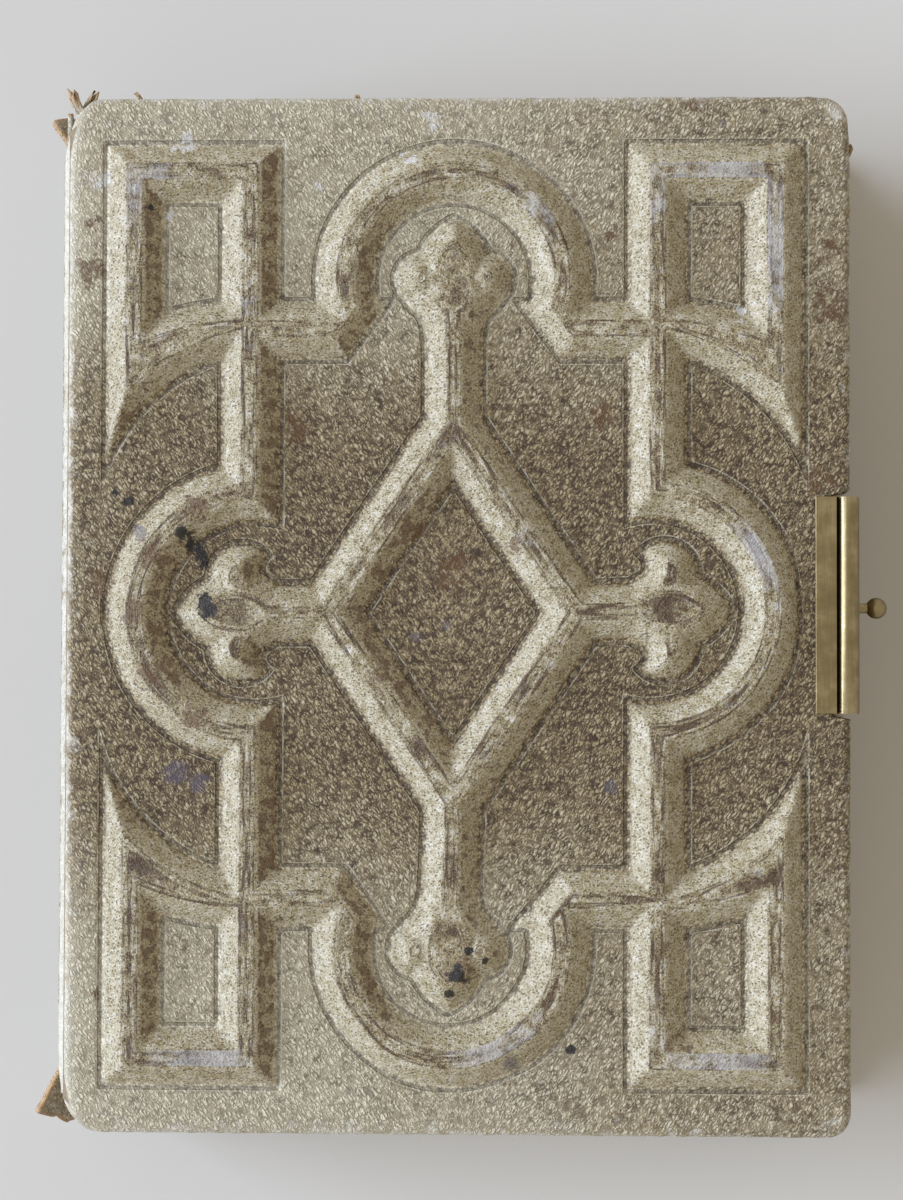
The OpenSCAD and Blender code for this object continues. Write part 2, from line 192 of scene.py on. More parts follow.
def closeMaterial(add, look, colour, height, **sockets):  # the surface, bumped by height
    bump = add("Bump", {"Height": height, "Distance": look["depth"] * mm, "Strength": look["strength"]})
    surface = add("BsdfPrincipled", {"Base Color": colour, "Normal": bump, **look["surface"], **sockets})
    add("OutputMaterial", {"Surface": surface})


def perMm(size):  # texture scale for a feature of that size in mm
    return 1 / (size * mm)


# what the four channels of a leather mesh's two mark layers hold; torn is below zero where the bloom lies
markKeys = dict(
    reliefMarks=("inside", "pale", "torn", "suedeAndHighlight"),
    wearAndShadeMarks=("stain", "scuff", "russetAndShade", "violet"),
)
offPattern = -6.0  # depth inside the pattern that marks plain leather, in mm

# Goat leather, dyed khaki, plated and blind-pressed over card: pebbled where it lies flat, stretched smooth
# with open pores on the straps, rubbed to a grey bloom on their tops and to pale suede at the edges
# Painted light on it: shade in the grooves and on the bevels that face away from the light, highlights on the
# grooves' lips and on the spine-side shoulder
goatLeather = dict(
    ground=((0.27, "#523c22"), (0.475, "#9e8b65"), (0.84, "#d8d0b6")), valley="#2c1905",  # tone, colour
    strap=((0.2, "#4a3318"), (0.45, "#9c8f6c"), (0.8, "#dad6cb")),
    noises=dict(  # size in mm, octaves, roughness
        crease=(0.28, 3.0, 0.65), patch=(1.7, 6.0, 0.65), mottle=(15.0, 5.0, 0.6), cloud=(6.5, 6.0, 0.7),
        lump=(0.95, 2.0, 0.5)),
    grainSize=(0.62, 0.9, 0.7), grainLean=0.55, leanFade=9.0,  # mm, the lean as a slope
    wobbleSize=1.2, wobble=1.5, wallShare=dict(grain=0.7, crease=0.3, lump=0.5),
    poreSize=(0.85, 0.46, 0.5), poreBroken=0.22,
    streakSize=(0.55, 6.0), streakDetail=4.0, streakRough=0.65, streakRange=(0.28, 0.72), halfStrap=4.1,
    wallSteps=dict(pebble=(0.38, 0.58), dome=(0.38, 0.78)), poreSteps=dict(pit=(0.46, 0.28)),
    insideSteps=dict(  # mm inside the pattern's edge, where each part of the relief starts and is whole
        strap=(0.0, 0.7), top=(2.75, 3.1), past=(3.55, 3.15), low=(0.0, -0.4), open=(-0.72, -0.9),
        flat=(-1.22, -0.97)),
    strapGrain=0.28, heightShare=dict(crease=0.45, pore=-0.4, polish=0.35, open=0.5),
    toneShare=dict(pale=0.32, mottle=0.24, crease=0.55, dome=0.2),
    brownPale=-0.22, brownRange=(0.2, 0.6, 0.42, 0.95), pebbleDye=0.12,
    patchRange=(0.6, 1.1), wornShare=dict(top=-0.24, polish=0.3), bloomShare=dict(ridge=0.04, torn=-0.5),
    layers=dict(  # colour, level at which it shows, how far it is broken up, strength, softness of its edge
        # groove: painted shade in the groove round the straps
        pore=("#4c3a20", 0.55, 0.6, 0.6, 0.17), grooveShade=("#3d352b", 0.65, 0.9, 0.42, 0.17),
        # lip: painted highlight along the groove's outer lip
        lipHighlight=("#d3cab3", 0.95, 1.4, 0.45, 0.17), streak=("#422a12", 0.64, 0.45, 0.85, 0.17),
        bloom=("#b3b0ae", 0.75, 0.3, 0.7, 0.17), violet=("#574f5b", 0.7, 1.2, 0.6, 0.17),
        # the russet colour also paints shade on the bevels that face away from the light
        # the suede colour also paints a highlight along the spine-side shoulder
        russetAndShade=("#5a3c18", 0.72, 1.5, 0.78, 0.17), suedeAndHighlight=("#d4cebf", 0.75, 1.3, 0.88, 0.4),
        torn=("#bd9a70", 0.5, 0.9, 0.85, 0.4), scuff=("#d3d2d0", 0.8, 2.4, 0.65, 0.17),
        stain=("#140f0c", 0.55, 1.6, 0.95, 0.17)),
    markFade=(0.02, 0.2), roughRange=(0.3, 0.75, 0.37, 0.55),
    roughShare=dict(deep=0.3, strap=-0.2, suedeAndHighlight=0.2), depth=0.24, strength=1.0, surface={"IOR": 1.5},
)


def leatherMaterial():
    look = goatLeather
    material, add, place = newMaterial("goat_leather_pressed")
    x, y, z = (add("SeparateXYZ", {0: place}, out=i) for i in range(3))
    field = {}  # all that the height, the colour and the shine are mixed from
    for layer, keys in markKeys.items():
        marks = add("Attribute", attribute_name=layer, out="Color")
        for i, key in enumerate(keys[:3]):
            field[key] = add("SeparateColor", {0: marks}, out=i)
        field[keys[3]] = add("Attribute", attribute_name=layer, out="Alpha")
    for key, (size, detail, rough) in look["noises"].items():
        field[key] = add("TexNoise", {
            "Vector": place, "Scale": perMm(size), "Detail": detail, "Roughness": rough})
    # two grains, leaning out to the left and to the right of the middle
    wobble = add("TexNoise", {"Vector": place, "Scale": perMm(look["wobbleSize"])}, out="Color")
    grainScale, poreScale = ([perMm(v) for v in look[key]] for key in ("grainSize", "poreSize"))
    grains = []
    for lean in (-look["grainLean"], look["grainLean"]):
        leaning = add("Math", {0: y, 1: -lean, 2: x}, operation="MULTIPLY_ADD")
        sheared = add("CombineXYZ", {0: leaning, 1: y, 2: z})
        scaled = add("VectorMath", {0: sheared, 1: grainScale}, operation="MULTIPLY")
        warped = add("VectorMath", {0: wobble, 1: [look["wobble"]] * 3, 2: scaled}, operation="MULTIPLY_ADD")
        walls = add("TexVoronoi", {"Vector": warped, "Scale": 1.0}, feature="DISTANCE_TO_EDGE")
        grains.append(walls)
    side = add("MapRange", {0: x, 1: -look["leanFade"] * mm, 2: look["leanFade"] * mm})
    field["grain"] = add("Mix", {0: side, 2: grains[0], 3: grains[1]})
    wall = addShares(add, field, look["wallShare"])
    pores = add("VectorMath", {0: sheared, 1: poreScale}, operation="MULTIPLY")
    pores = add("TexVoronoi", {"Vector": pores, "Scale": 1.0})
    pores = add("Math", {0: field["crease"], 1: look["poreBroken"], 2: pores}, operation="MULTIPLY_ADD")
    for value, steps in ((wall, "wallSteps"), (pores, "poreSteps"), (field["inside"], "insideSteps")):
        for key, (start, end) in look[steps].items():
            field[key] = add("MapRange", {0: value, 1: start, 2: end}, interpolation_type="SMOOTHSTEP")
    field["shut"] = add("Math", {0: 1.0, 1: field["open"]}, operation="SUBTRACT")
    # lip: painted highlight mask, on the groove's outer lip
    for key, first, second in (("ridge", "top", "past"), ("lipHighlight", "open", "flat"), ("pore", "pit", "strap"),
                               # groove: painted shade mask, in the bottom of the groove
                               ("grooveShade", "low", "shut")):
        field[key] = add("Math", {0: field[first], 1: field[second]}, operation="MULTIPLY")
    # rubbing leaves streaks along the straps, dark ones between polished ones
    across, along = look["streakSize"]
    middle = add("Math", {0: field["inside"], 1: look["halfStrap"]}, operation="MINIMUM")
    lines = []
    for value, scale in ((middle, 1 / across), (x, perMm(along)), (y, perMm(along))):
        lines.append(add("Math", {0: value, 1: scale}, operation="MULTIPLY"))
    lines = add("CombineXYZ", dict(enumerate(lines)))
    lines = add("TexNoise", {
        "Vector": lines, "Scale": 1.0, "Detail": look["streakDetail"], "Roughness": look["streakRough"]})
    lines = add("MapRange", dict(enumerate((lines,) + look["streakRange"])))
    field["polish"] = add("Math", {0: lines, 1: field["top"]}, operation="MULTIPLY")
    field["streak"] = add("Math", {0: field["top"], 1: field["polish"]}, operation="SUBTRACT")
    # height: pebbles on the open ground, pores and creases on the straps, a step at the groove's lip
    pebbled = add("MapRange", {0: field["open"], 3: look["strapGrain"]})
    height = add("Math", {0: field["dome"], 1: pebbled}, operation="MULTIPLY")
    height = addShares(add, field, look["heightShare"], height)
    # ground: dye lies in the valleys, and it pales towards the rubbed margins
    tone = addShares(add, field, look["toneShare"])
    ground = add("ValToRGB", {0: tone}, stops=look["ground"])
    brown = add("Math", {0: field["pale"], 1: look["brownPale"], 2: field["patch"]}, operation="MULTIPLY_ADD")
    brown = add("MapRange", dict(enumerate((brown,) + look["brownRange"])), interpolation_type="SMOOTHSTEP")
    deep = add("MapRange", {0: field["pebble"], 3: 1.0, 4: look["pebbleDye"]})
    field["deep"] = add("Math", {0: deep, 1: brown}, operation="MULTIPLY")
    ground = add("Mix", {0: field["deep"], 6: ground, 7: linear(look["valley"])}, out=2, data_type="RGBA")
    # straps: patchy on the bevels, more so on their tops
    patchLow, patchHigh = look["patchRange"]
    vary = add("MapRange", {0: field["top"], 3: patchLow, 4: patchHigh})
    worn = add("Math", {0: field["patch"], 1: 0.5}, operation="SUBTRACT")  # swings about zero
    worn = add("Math", {0: worn, 1: vary, 2: field["crease"]}, operation="MULTIPLY_ADD")
    worn = addShares(add, field, look["wornShare"], worn)
    strap = add("ValToRGB", {0: worn}, stops=look["strap"])
    colour = add("Mix", {0: field["strap"], 6: ground, 7: strap}, out=2, data_type="RGBA")
    bloom = addShares(add, field, look["bloomShare"], field["cloud"])
    field["bloom"] = add("Math", {0: bloom, 1: field["top"]}, operation="MULTIPLY")
    # wear and stains, painted shade and painted highlights, one over another
    markStart, markFull = look["markFade"]
    for key, (shade, level, broken, most, soft) in look["layers"].items():
        ragged = add("Math", {0: field["patch"], 1: 2 * broken, 2: field[key]}, operation="MULTIPLY_ADD")
        span = {0: ragged, 1: level + broken - soft, 2: level + broken + soft, 3: 0.0, 4: most}
        share = add("MapRange", span, interpolation_type="SMOOTHSTEP")
        there = add("MapRange", {0: field[key], 1: markStart, 2: markFull})
        share = add("Math", {0: share, 1: there}, operation="MULTIPLY")
        colour = add("Mix", {0: share, 6: colour, 7: linear(shade)}, out=2, data_type="RGBA")
    rough = add("MapRange", dict(enumerate((field["crease"],) + look["roughRange"])))
    rough = addShares(add, field, look["roughShare"], rough)
    closeMaterial(add, look, colour, height, Roughness=rough)
    return material


leather = leatherMaterial()
print("leather mixed")


# relief of the covers, in mm from the cover's middle
strapwork = dict(
    halfStrap=4.2, bevel=2.85, height=2.2, barX=30.6, barY=42.6, frameX=48.1, frameY=66.4, frameFoot=45.0,
    ringX=29.6, ringR=18.15, ringHalf=4.25, lozengeX=18.7, lozengeY=27.8, lozengeHalf=4.3,
    archY=50.0, archR=16.4, archHalf=4.3, archFrom=40.0, archWhole=58.0,
    footAt=(11.3, 45.0), footSlope=(0.8, 0.6),  # the slanted ends of the arches and bars
    sweepLow=(25.65, 10.8, 29.25), sweepHigh=(30.2, -0.5, 47.5), sweepFrom=21.0,  # centre and radius
    stemHalf=4.1, stem=(24.0, 50.0), armHalf=4.2, arm=(15.0, 32.0), tipY=59.5, tipX=41.7,
    ringRise=0.5, ringRiseX=(12, 34), ringRiseY=(16, 34),
    footShift=0.5, footShiftY=(30, 48), footShiftX=(9, 13), outside=-9.0, farOff=99.0,
)
finials = dict(  # arcs: sideways, inwards from the tip, radius, in mm
    leaf=(-4.32, 9.41, 10.35), lobe=(4.9, 9.2, 3.9), hollow=(9.3, 17.5, 5.0), hollowWide=6.9,
    hook=(5.4, 10.0, 4.9), hookCut=(6.7, 15.3, 2.6),
)


def insideArc(u, v, key):
    across, along, radius = finials[key]
    return radius - np.hypot(v - across, u - along)


def upFinial(u, v):  # u inwards from the tip, v sideways: leaf, two lobes, hollow run down to the stem
    v = np.abs(v)
    start, end = finials["lobe"][1], finials["hollow"][1]
    hollow = np.minimum.reduce([-insideArc(u, v, "hollow"), end - u, u - start, finials["hollowWide"] - v])
    return np.maximum.reduce([insideArc(u, v, "leaf"), insideArc(u, v, "lobe"), hollow])


def sideFinial(u, v):  # the same leaf with hooked lobes
    v = np.abs(v)
    hook = np.minimum(insideArc(u, v, "hook"), -insideArc(u, v, "hookCut"))
    return np.maximum(insideArc(u, v, "leaf"), hook)


def insideStraps(x, y):  # how far a point lies inside the pattern's edge, in mm
    s = strapwork
    w, barX, barY, frameX, frameY = (s[k] for k in ("halfStrap", "barX", "barY", "frameX", "frameY"))
    # the pattern was set by hand: the right ring sits high, the lower finial to the left
    y = y - s["ringRise"] * smooth(x, *s["ringRiseX"]) * (1 - smooth(np.abs(y), *s["ringRiseY"]))
    x = x + s["footShift"] * smooth(-y, *s["footShiftY"]) * (1 - smooth(np.abs(x), *s["footShiftX"]))
    ax, ay = np.abs(x), np.abs(y)
    lowX, lowY, lowR = s["sweepLow"]
    highX, highY, highR = s["sweepHigh"]
    overLow = np.hypot(ax - lowX, ay - lowY) - lowR
    sweep = np.minimum(overLow, highR - np.hypot(ax - highX, ay - highY))
    sweep = np.minimum(sweep, np.minimum(w - (ax - frameX), w - (barX - ax)))
    side = w - np.maximum(np.abs(ax - frameX), ay - frameY)
    side = np.minimum(side, np.where(ay < s["frameFoot"], overLow, s["farOff"]))
    foot = s["footSlope"][0] * (ax - s["footAt"][0]) + s["footSlope"][1] * (ay - s["footAt"][1])
    arch = s["archHalf"] - np.abs(np.hypot(ax, ay - s["archY"]) - s["archR"])
    archEnd = np.where(ay > s["archFrom"], np.minimum(arch, foot), s["outside"])
    ring = s["ringHalf"] - np.abs(np.hypot(ax - s["ringX"], ay) - s["ringR"])
    slant = 1 / math.hypot(1 / s["lozengeX"], 1 / s["lozengeY"])
    stemStart, stemEnd = s["stem"]
    armStart, armEnd = s["arm"]
    parts = [
        w - np.maximum(np.abs(ax - barX), np.maximum(ay - frameY, s["ringR"] - ay)),
        w - np.maximum(np.abs(ay - frameY), np.maximum(barX - ax, ax - frameX)),
        side,
        np.where(ay > s["sweepFrom"], sweep, s["outside"]),
        np.minimum(w - np.maximum(np.abs(ay - barY), ax - barX), foot),
        np.where(ay < s["archWhole"], archEnd, arch),
        np.minimum(ring, w - (barX - ax)),
        s["lozengeHalf"] - np.abs(ax / s["lozengeX"] + ay / s["lozengeY"] - 1) * slant,
        np.minimum.reduce([s["stemHalf"] - ax, ay - stemStart, stemEnd - ay]),
        np.minimum.reduce([s["armHalf"] - ay, ax - armStart, armEnd - ax]),
        upFinial(s["tipY"] - ay, ax),
        sideFinial(s["tipX"] - ax, ay),
    ]
    return np.maximum.reduce(parts)


# covers
coverShape = dict(  # mm
    step=0.49, thick=4.4, cornerR=3.6, edgeR=1.3, spineR=3.4, innerR=0.5, turnIn=9.0, lining=0.4, leather=0.8,
    edgeSteps=5, innerSteps=3, shoulderBack=0.75, fray=(0.22, 1.3, 1.3, 50, 3),  # as in ripple
    grooveAt=-0.42, lipAt=-0.82, bevelPull=(0.25, 0.25), groovePull=(0.2, 0.25), lipPull=(0.25, 0.2),
    probe=0.02, sweeps=2, leastSlope=0.25, keepOff=5.0,
    sags=((0.12, 21.0, 21.0, 9, 0), (0.06, 3.0, 3.0, 30, 5)), sagFade=(1.3, 5.0),  # as in ripple
    wornCorners=((-1, 1, 1.6, 0.7), (-1, -1, 1.3, 1.5), (1, 1, 0.35, 0.35)), wornReach=7.0, wornStretch=1.4,
    notch=2.8, notchY=1.35, notchEdge=(16.4, 17.0), notchFrom=50.0, notchRim=1.0,  # room for the clasp
)
coverWearAndPaintedLight = dict(  # strength of each kind of rubbing, of the painted shade and of the painted highlight, and where each fades, in mm
    ends=0.88, endsFade=(22, 54), rightLess=0.5, rightFade=(-20, 50), spineSide=0.12, spineFade=(3, 14),
    rim=0.6, rimReach=0.9, margin=0.35, marginReach=6.0, marginLess=0.25, marginFade=(20, 50),
    # the spine-side shoulder is painted pale: wear, and a painted highlight where that rounded edge faces the
    # light, brighter towards its top
    shoulder=0.55, shoulderHighlight=0.6, shoulderHighlightRise=(1.2, 3.2), shoulderFade=(0.6, 3.4),
    turnIn=0.15, turnInTop=0.2, corner=0.75, cornerMore=0.35, cornerFade=(1, 8), bloom=-0.6, russetAndShade=0.82,
    # painted shade on the bevels that face away from the light, fainter on the right half
    paintedShade=0.72, paintedShadeSlope=(0.3, 0.9), paintedShadeFoot=(-0.2, 0.4), paintedShadeTop=(2.4, 2.9),
    paintedShadeLess=0.6, paintedShadeFade=(-15, 25),
)
spotCore, spotReach = 0.2, 1.5  # parts of a spot's radius where it starts to fade and where it ends
frontWear = dict(  # x, y, radius in mm from the cover's middle
    bloom=[(38, 66, 12), (48, 54, 11), (6, -66, 10), (40, -66, 10), (-47, 63, 7), (14, 63, 6), (-38, -66, 8),
           (46, 8, 8)],
    stain=[(-40.6, 11.8, 1.3), (-38.6, 10.2, 1.7), (-37.7, 8.2, 1.4), (-37.0, 2.0, 1.5), (-36.8, 0.4, 1.5),
           (0.9, -53.7, 1.5), (-0.4, -56.6, 0.9), (2.5, -50.2, 0.8), (5.0, -51.8, 0.7), (17.9, -65.0, 0.9),
           (-51.0, 18.0, 0.7), (-48.9, 16.7, 0.9), (-45.6, 61.0, 0.7)],
    scuff=[(-40.4, 70.7, 2.6), (-53.6, 65.3, 1.8), (-4.0, 74.3, 2.0), (-6.6, 68.6, 1.5), (-20.7, 64.4, 1.1),
           (42.9, 44.9, 1.3), (-43.0, 60.0, 1.4)],
    russetAndShade=[(35.9, 76.8, 2.4), (23.7, 57.0, 0.9), (56.4, 54.3, 3.5), (57.0, 46.0, 4.0), (-54.6, 58.4, 2.0),
            (-16.4, -36.8, 0.8), (16.8, -21.0, 0.8), (55.0, 20.0, 3.0), (-53.0, -57.0, 1.5), (8.0, -70, 1.3),
            (-26.0, -46.0, 1.2), (48.0, -60.0, 1.6), (22.0, 30.0, 3.0), (-24.0, 28.0, 3.0), (0.0, 6.0, 4.0),
            (-39.5, 10.5, 3.0), (-45.5, 60.0, 2.2), (-37.0, 1.3, 2.6), (1.5, -53.0, 3.5), (-53.0, 5.0, 3.0),
            (-55.0, 52.0, 4.0), (-38.7, 15.7, 3.0), (-45.3, 9.1, 3.2), (-47.7, 0.0, 3.2), (-45.3, -9.1, 3.2),
            (-38.7, -15.7, 3.0), (-6.0, 13.0, 3.2), (9.0, 10.0, 2.2), (-11.0, -9.0, 2.0), (34.0, -64.0, 2.5),
            (31.5, -50.0, 2.0)],
    violet=[(-41.5, -24.0, 2.6), (-38.0, -25.5, 2.0), (-5.4, -3.6, 1.2), (-1.0, -1.8, 1.0), (40.2, 73.8, 1.0),
            (-47.0, 12.0, 1.5), (9.0, -67.0, 1.6), (24.0, -26.0, 1.5)],
)
backWear = dict(russetAndShade=[(20, -40, 5), (-35, 30, 6), (5, 60, 4)], violet=[(30, 66, 2), (-48, -60, 2)])


def channel(marks, key):  # the column of a mark layer that holds this key
    layer = next(name for name, keys in markKeys.items() if key in keys)
    return marks[layer][:, markKeys[layer].index(key)]


def spots(x, y, places):  # 1 in the middle of each spot, 0 past its edge
    mark = np.zeros_like(x)
    for px, py, r in places:
        mark = np.maximum(mark, 1 - smooth(np.hypot(x - px, y - py), spotCore * r, spotReach * r))
    return mark


def roundedGrid(hw, hh):  # a grid over the cover with its square corners drawn round
    c = coverShape
    inset, edgeR, spineR = c["cornerR"], c["edgeR"], c["spineR"]
    nx, ny = (int(round(2 * side / c["step"])) for side in (hw, hh))
    xs, ys = np.linspace(spineR - hw, hw - edgeR, nx), np.linspace(edgeR - hh, hh - edgeR, ny)
    px, py = np.meshgrid(xs, ys, indexing="ij")
    nearX, nearY = np.clip(px, inset - hw, hw - inset), np.clip(py, inset - hh, hh - inset)
    roomX, roomY = np.where(px < 0, inset - spineR, inset - edgeR), inset - edgeR
    a, b = (px - nearX) / roomX, (py - nearY) / roomY
    dirX, dirY = a * np.sqrt(1 - b * b / 2), b * np.sqrt(1 - a * a / 2)
    return dict(px=px, py=py, nearX=nearX, nearY=nearY, dirX=dirX, dirY=dirY,
                x=nearX + dirX * roomX, y=nearY + dirY * roomY)


def drawToLines(x, y, hw, hh):  # points near the pattern's edge lines move onto them, for clean creases
    c = coverShape
    eps = c["probe"]
    lines = ((strapwork["bevel"], c["bevelPull"]), (c["grooveAt"], c["groovePull"]),
             (c["lipAt"], c["lipPull"]))
    for _ in range(c["sweeps"]):
        e = insideStraps(x, y)
        gx, gy = (insideStraps(x + eps, y) - e) / eps, (insideStraps(x, y + eps) - e) / eps
        size = np.maximum(gx * gx + gy * gy, c["leastSlope"])
        for line, (under, over) in lines:
            off = e - line
            clear = (np.abs(x) < hw - c["keepOff"]) & (np.abs(y) < hh - c["keepOff"])
            near = (off > -under) & (off < over) & clear
            x = x - np.where(near, off * gx / size, 0)
            y = y - np.where(near, off * gy / size, 0)
    return x, y


def pressedHeight(x, y, depth, hw, hh, seed):  # raised straps, a groove round them, a little sag
    c = coverShape
    rise = np.clip(np.maximum(depth, c["grooveAt"]) / strapwork["bevel"], -1, 1)
    fade = np.clip((depth - c["lipAt"]) / (c["grooveAt"] - c["lipAt"]), 0, 1)
    rise = np.where(depth < c["grooveAt"], rise * fade, rise)
    sag = sum(ripple(x, y, wave, seed) for wave in c["sags"])
    fromEdge = np.minimum(hw - np.abs(x), hh - np.abs(y))
    return c["thick"] + strapwork["height"] * rise + sag * smooth(fromEdge, *c["sagFade"])


def coverRims(grid, ring, hw, hh, seed):  # rings of points that carry on from the face's border
    c = coverShape
    inset, edgeR, spineR, innerR, thick = (c[k] for k in ("cornerR", "edgeR", "spineR", "innerR", "thick"))
    keys = ("nearX", "nearY", "dirX", "dirY", "px", "py")
    nearX, nearY, dirX, dirY, px, py = (grid[key].ravel()[ring] for key in keys)
    turnR = np.where(dirX < 0, spineR, edgeR) * dirX ** 2 + edgeR * dirY ** 2
    fray = ripple(px, py, c["fray"], seed)
    flat = np.zeros(len(ring))
    bends = []  # how far each ring reaches out, and its height
    for k in range(1, c["edgeSteps"] + 1):  # over the outer edge
        turn = k / c["edgeSteps"] * math.pi / 2
        out = inset - turnR * (1 - math.sin(turn)) + fray * math.sin(turn)
        bends.append((out, thick - turnR * (1 - math.cos(turn))))
    for part in (0.5, 1.0):  # down the side
        bends.append((inset + fray, (thick - turnR) * (1 - part) + innerR * part))
    for k in range(1, c["innerSteps"] + 1):  # round the inner edge
        turn = k / c["innerSteps"] * math.pi / 2
        out = inset - innerR * (1 - math.cos(turn)) + fray * math.cos(turn)
        bends.append((out, flat + innerR * (1 - math.sin(turn))))
    rims = [(nearX + dirX * out, nearY + dirY * out, level) for out, level in bends]
    # the turn-in lies flat on the board, and the leather's inner side goes back round it
    shareX, shareY = ((p - p.min()) / (p.max() - p.min()) for p in (px, py))
    pocketX = (spineR - hw) * (1 - shareX) + (hw - c["turnIn"]) * shareX
    pocketY = (c["turnIn"] - hh) * (1 - shareY) + (hh - c["turnIn"]) * shareY
    lastX, lastY, _ = rims[-1]
    rims.append(((lastX + pocketX) / 2, (lastY + pocketY) / 2, flat))
    rims.append((pocketX, pocketY, flat))
    rims.append((pocketX, pocketY, flat + c["lining"]))
    for back, level in ((0, c["lining"]), (c["shoulderBack"], thick - c["leather"])):
        out = inset - c["leather"] - back * (turnR - edgeR)
        rims.append((nearX + dirX * out, nearY + dirY * out, flat + level))
    return rims


def coverMarks(x, y, z, inside, hw, hh, wear):  # what the leather's material reads at each point
    r = coverWearAndPaintedLight
    pale = r["ends"] * smooth(np.abs(y), *r["endsFade"]) * (1 - r["rightLess"] * smooth(x, *r["rightFade"]))
    pale = pale + r["spineSide"] * (1 - smooth(hw + x, *r["spineFade"]))
    fromX, fromY = hw - np.abs(x), hh - np.abs(y)
    border = np.maximum(np.minimum(fromX, fromY), 0)
    margin = r["margin"] - r["marginLess"] * smooth(x, *r["marginFade"])
    rub = r["rim"] * np.exp(-border / r["rimReach"]) + margin * np.exp(-border / r["marginReach"])
    # spine-side shoulder: wear and painted highlight, paler towards its top
    shoulder = r["shoulder"] + r["shoulderHighlight"] * smooth(z, *r["shoulderHighlightRise"])
    rub = np.maximum(rub, shoulder * (1 - smooth(hw + x, *r["shoulderFade"])))
    rub[z < r["turnInTop"]] = r["turnIn"]
    corner = r["corner"] + r["cornerMore"] * (x > 0) * (y > 0)
    rub = np.maximum(rub, corner * (1 - smooth(np.hypot(fromX, fromY), *r["cornerFade"])))
    bloom = r["bloom"] * spots(x, y, wear.get("bloom", []))
    wearAndShadeMarks = np.stack([spots(x, y, wear.get(key, [])) for key in markKeys["wearAndShadeMarks"]], -1)
    return {"reliefMarks": np.stack([inside, pale, bloom, rub], -1), "wearAndShadeMarks": wearAndShadeMarks}


def paintedShadeMark(x, y, depth):  # painted shade on the bevels that face away from the spine and from the light
    r, eps = coverWearAndPaintedLight, coverShape["probe"]
    slope = (insideStraps(x + eps, y) - insideStraps(x - eps, y)) / (2 * eps)
    paintedShade = r["paintedShade"] * smooth(-slope, *r["paintedShadeSlope"]) * smooth(depth, *r["paintedShadeFoot"])
    return paintedShade * (1 - smooth(depth, *r["paintedShadeTop"])) * (1 - r["paintedShadeLess"] * smooth(x, *r["paintedShadeFade"]))


def buildCover(name, stoodFor, facing, seed, wear, notched):
    node = stoodFor[0]
    c = coverShape
    low, high = boxMm(node)
    mid, (hw, hh, _) = (low + high) / 2, (high - low) / 2
    inner = low[2] if facing > 0 else high[2]
    grid = roundedGrid(hw, hh)
    gridX, gridY = drawToLines(grid["x"], grid["y"], hw, hh)
    depth = insideStraps(gridX, gridY)
    gridZ = pressedHeight(gridX, gridY, depth, hw, hh, seed)
    quads, ring = gridFaces(*depth.shape)
    rims = coverRims(grid, ring, hw, hh, seed)
    x, y, z = (np.concatenate([part.ravel() for part in parts])
               for parts in zip((gridX, gridY, gridZ), *rims))
    count = len(ring)
    faces, previous = [quads], ring
    for k in range(len(rims)):
        current = depth.size + k * count + np.arange(count)
        faces.append(np.stack([previous, current, np.roll(current, -1), np.roll(previous, -1)], -1))
        previous = current
    faces = np.concatenate(faces)
    for sideX, sideY, wearX, wearY in c["wornCorners"]:
        away = np.hypot(x - sideX * hw, (y - sideY * hh) / c["wornStretch"])
        pull = 1 - smooth(away, 0.0, c["wornReach"])
        x = x - sideX * wearX * pull
        y = y - sideY * wearY * pull
    if notched:
        inNotch = 1 - smooth(np.abs(y - c["notchY"]), *c["notchEdge"])
        x = x - c["notch"] * inNotch * smooth(x, c["notchFrom"], hw - c["notchRim"])
    if facing < 0:
        faces = faces[:, ::-1]
    cap = previous[::-1] if facing > 0 else previous
    points = np.stack([x + mid[0], y + mid[1], inner + facing * z], -1)
    inside = np.concatenate([depth.ravel(), np.full(len(rims) * count, offPattern)])
    inside = inside.clip(offPattern, -offPattern)
    marks = coverMarks(x, y, z, inside, hw, hh, wear)
    russetAndShade = channel(marks, "russetAndShade")
    russetAndShade *= coverWearAndPaintedLight["russetAndShade"]  # the brown spots stay fainter than the painted shade
    # painted shade, in the russet colour, on the bevels that face away from the light
    russetAndShade[:depth.size] = np.maximum(russetAndShade[:depth.size], paintedShadeMark(gridX, gridY, depth).ravel())
    faces = faces.tolist() + [cap.tolist()]
    return makePiece(name, points, faces, leather, bodyOf[node], stoodFor, marks)


frontLayers = ("front_leather", "front_fret", "front_cross_fret")
backLayers = ("back_leather", "back_fret", "back_cross_fret")
frontCover = buildCover("front_cover_leather", frontLayers, facing=1, seed=11, wear=frontWear, notched=True)
buildCover("back_cover_leather", backLayers, facing=-1, seed=23, wear=backWear, notched=False)
print("covers pressed:", len(frontCover.data.polygons), "faces each")


def plainMarks(count, pale, rub):  # marks of leather without relief or stains
    relief = np.tile((offPattern, pale, 0.0, rub), (count, 1))
    return {"reliefMarks": relief, "wearAndShadeMarks": np.zeros((count, 4))}


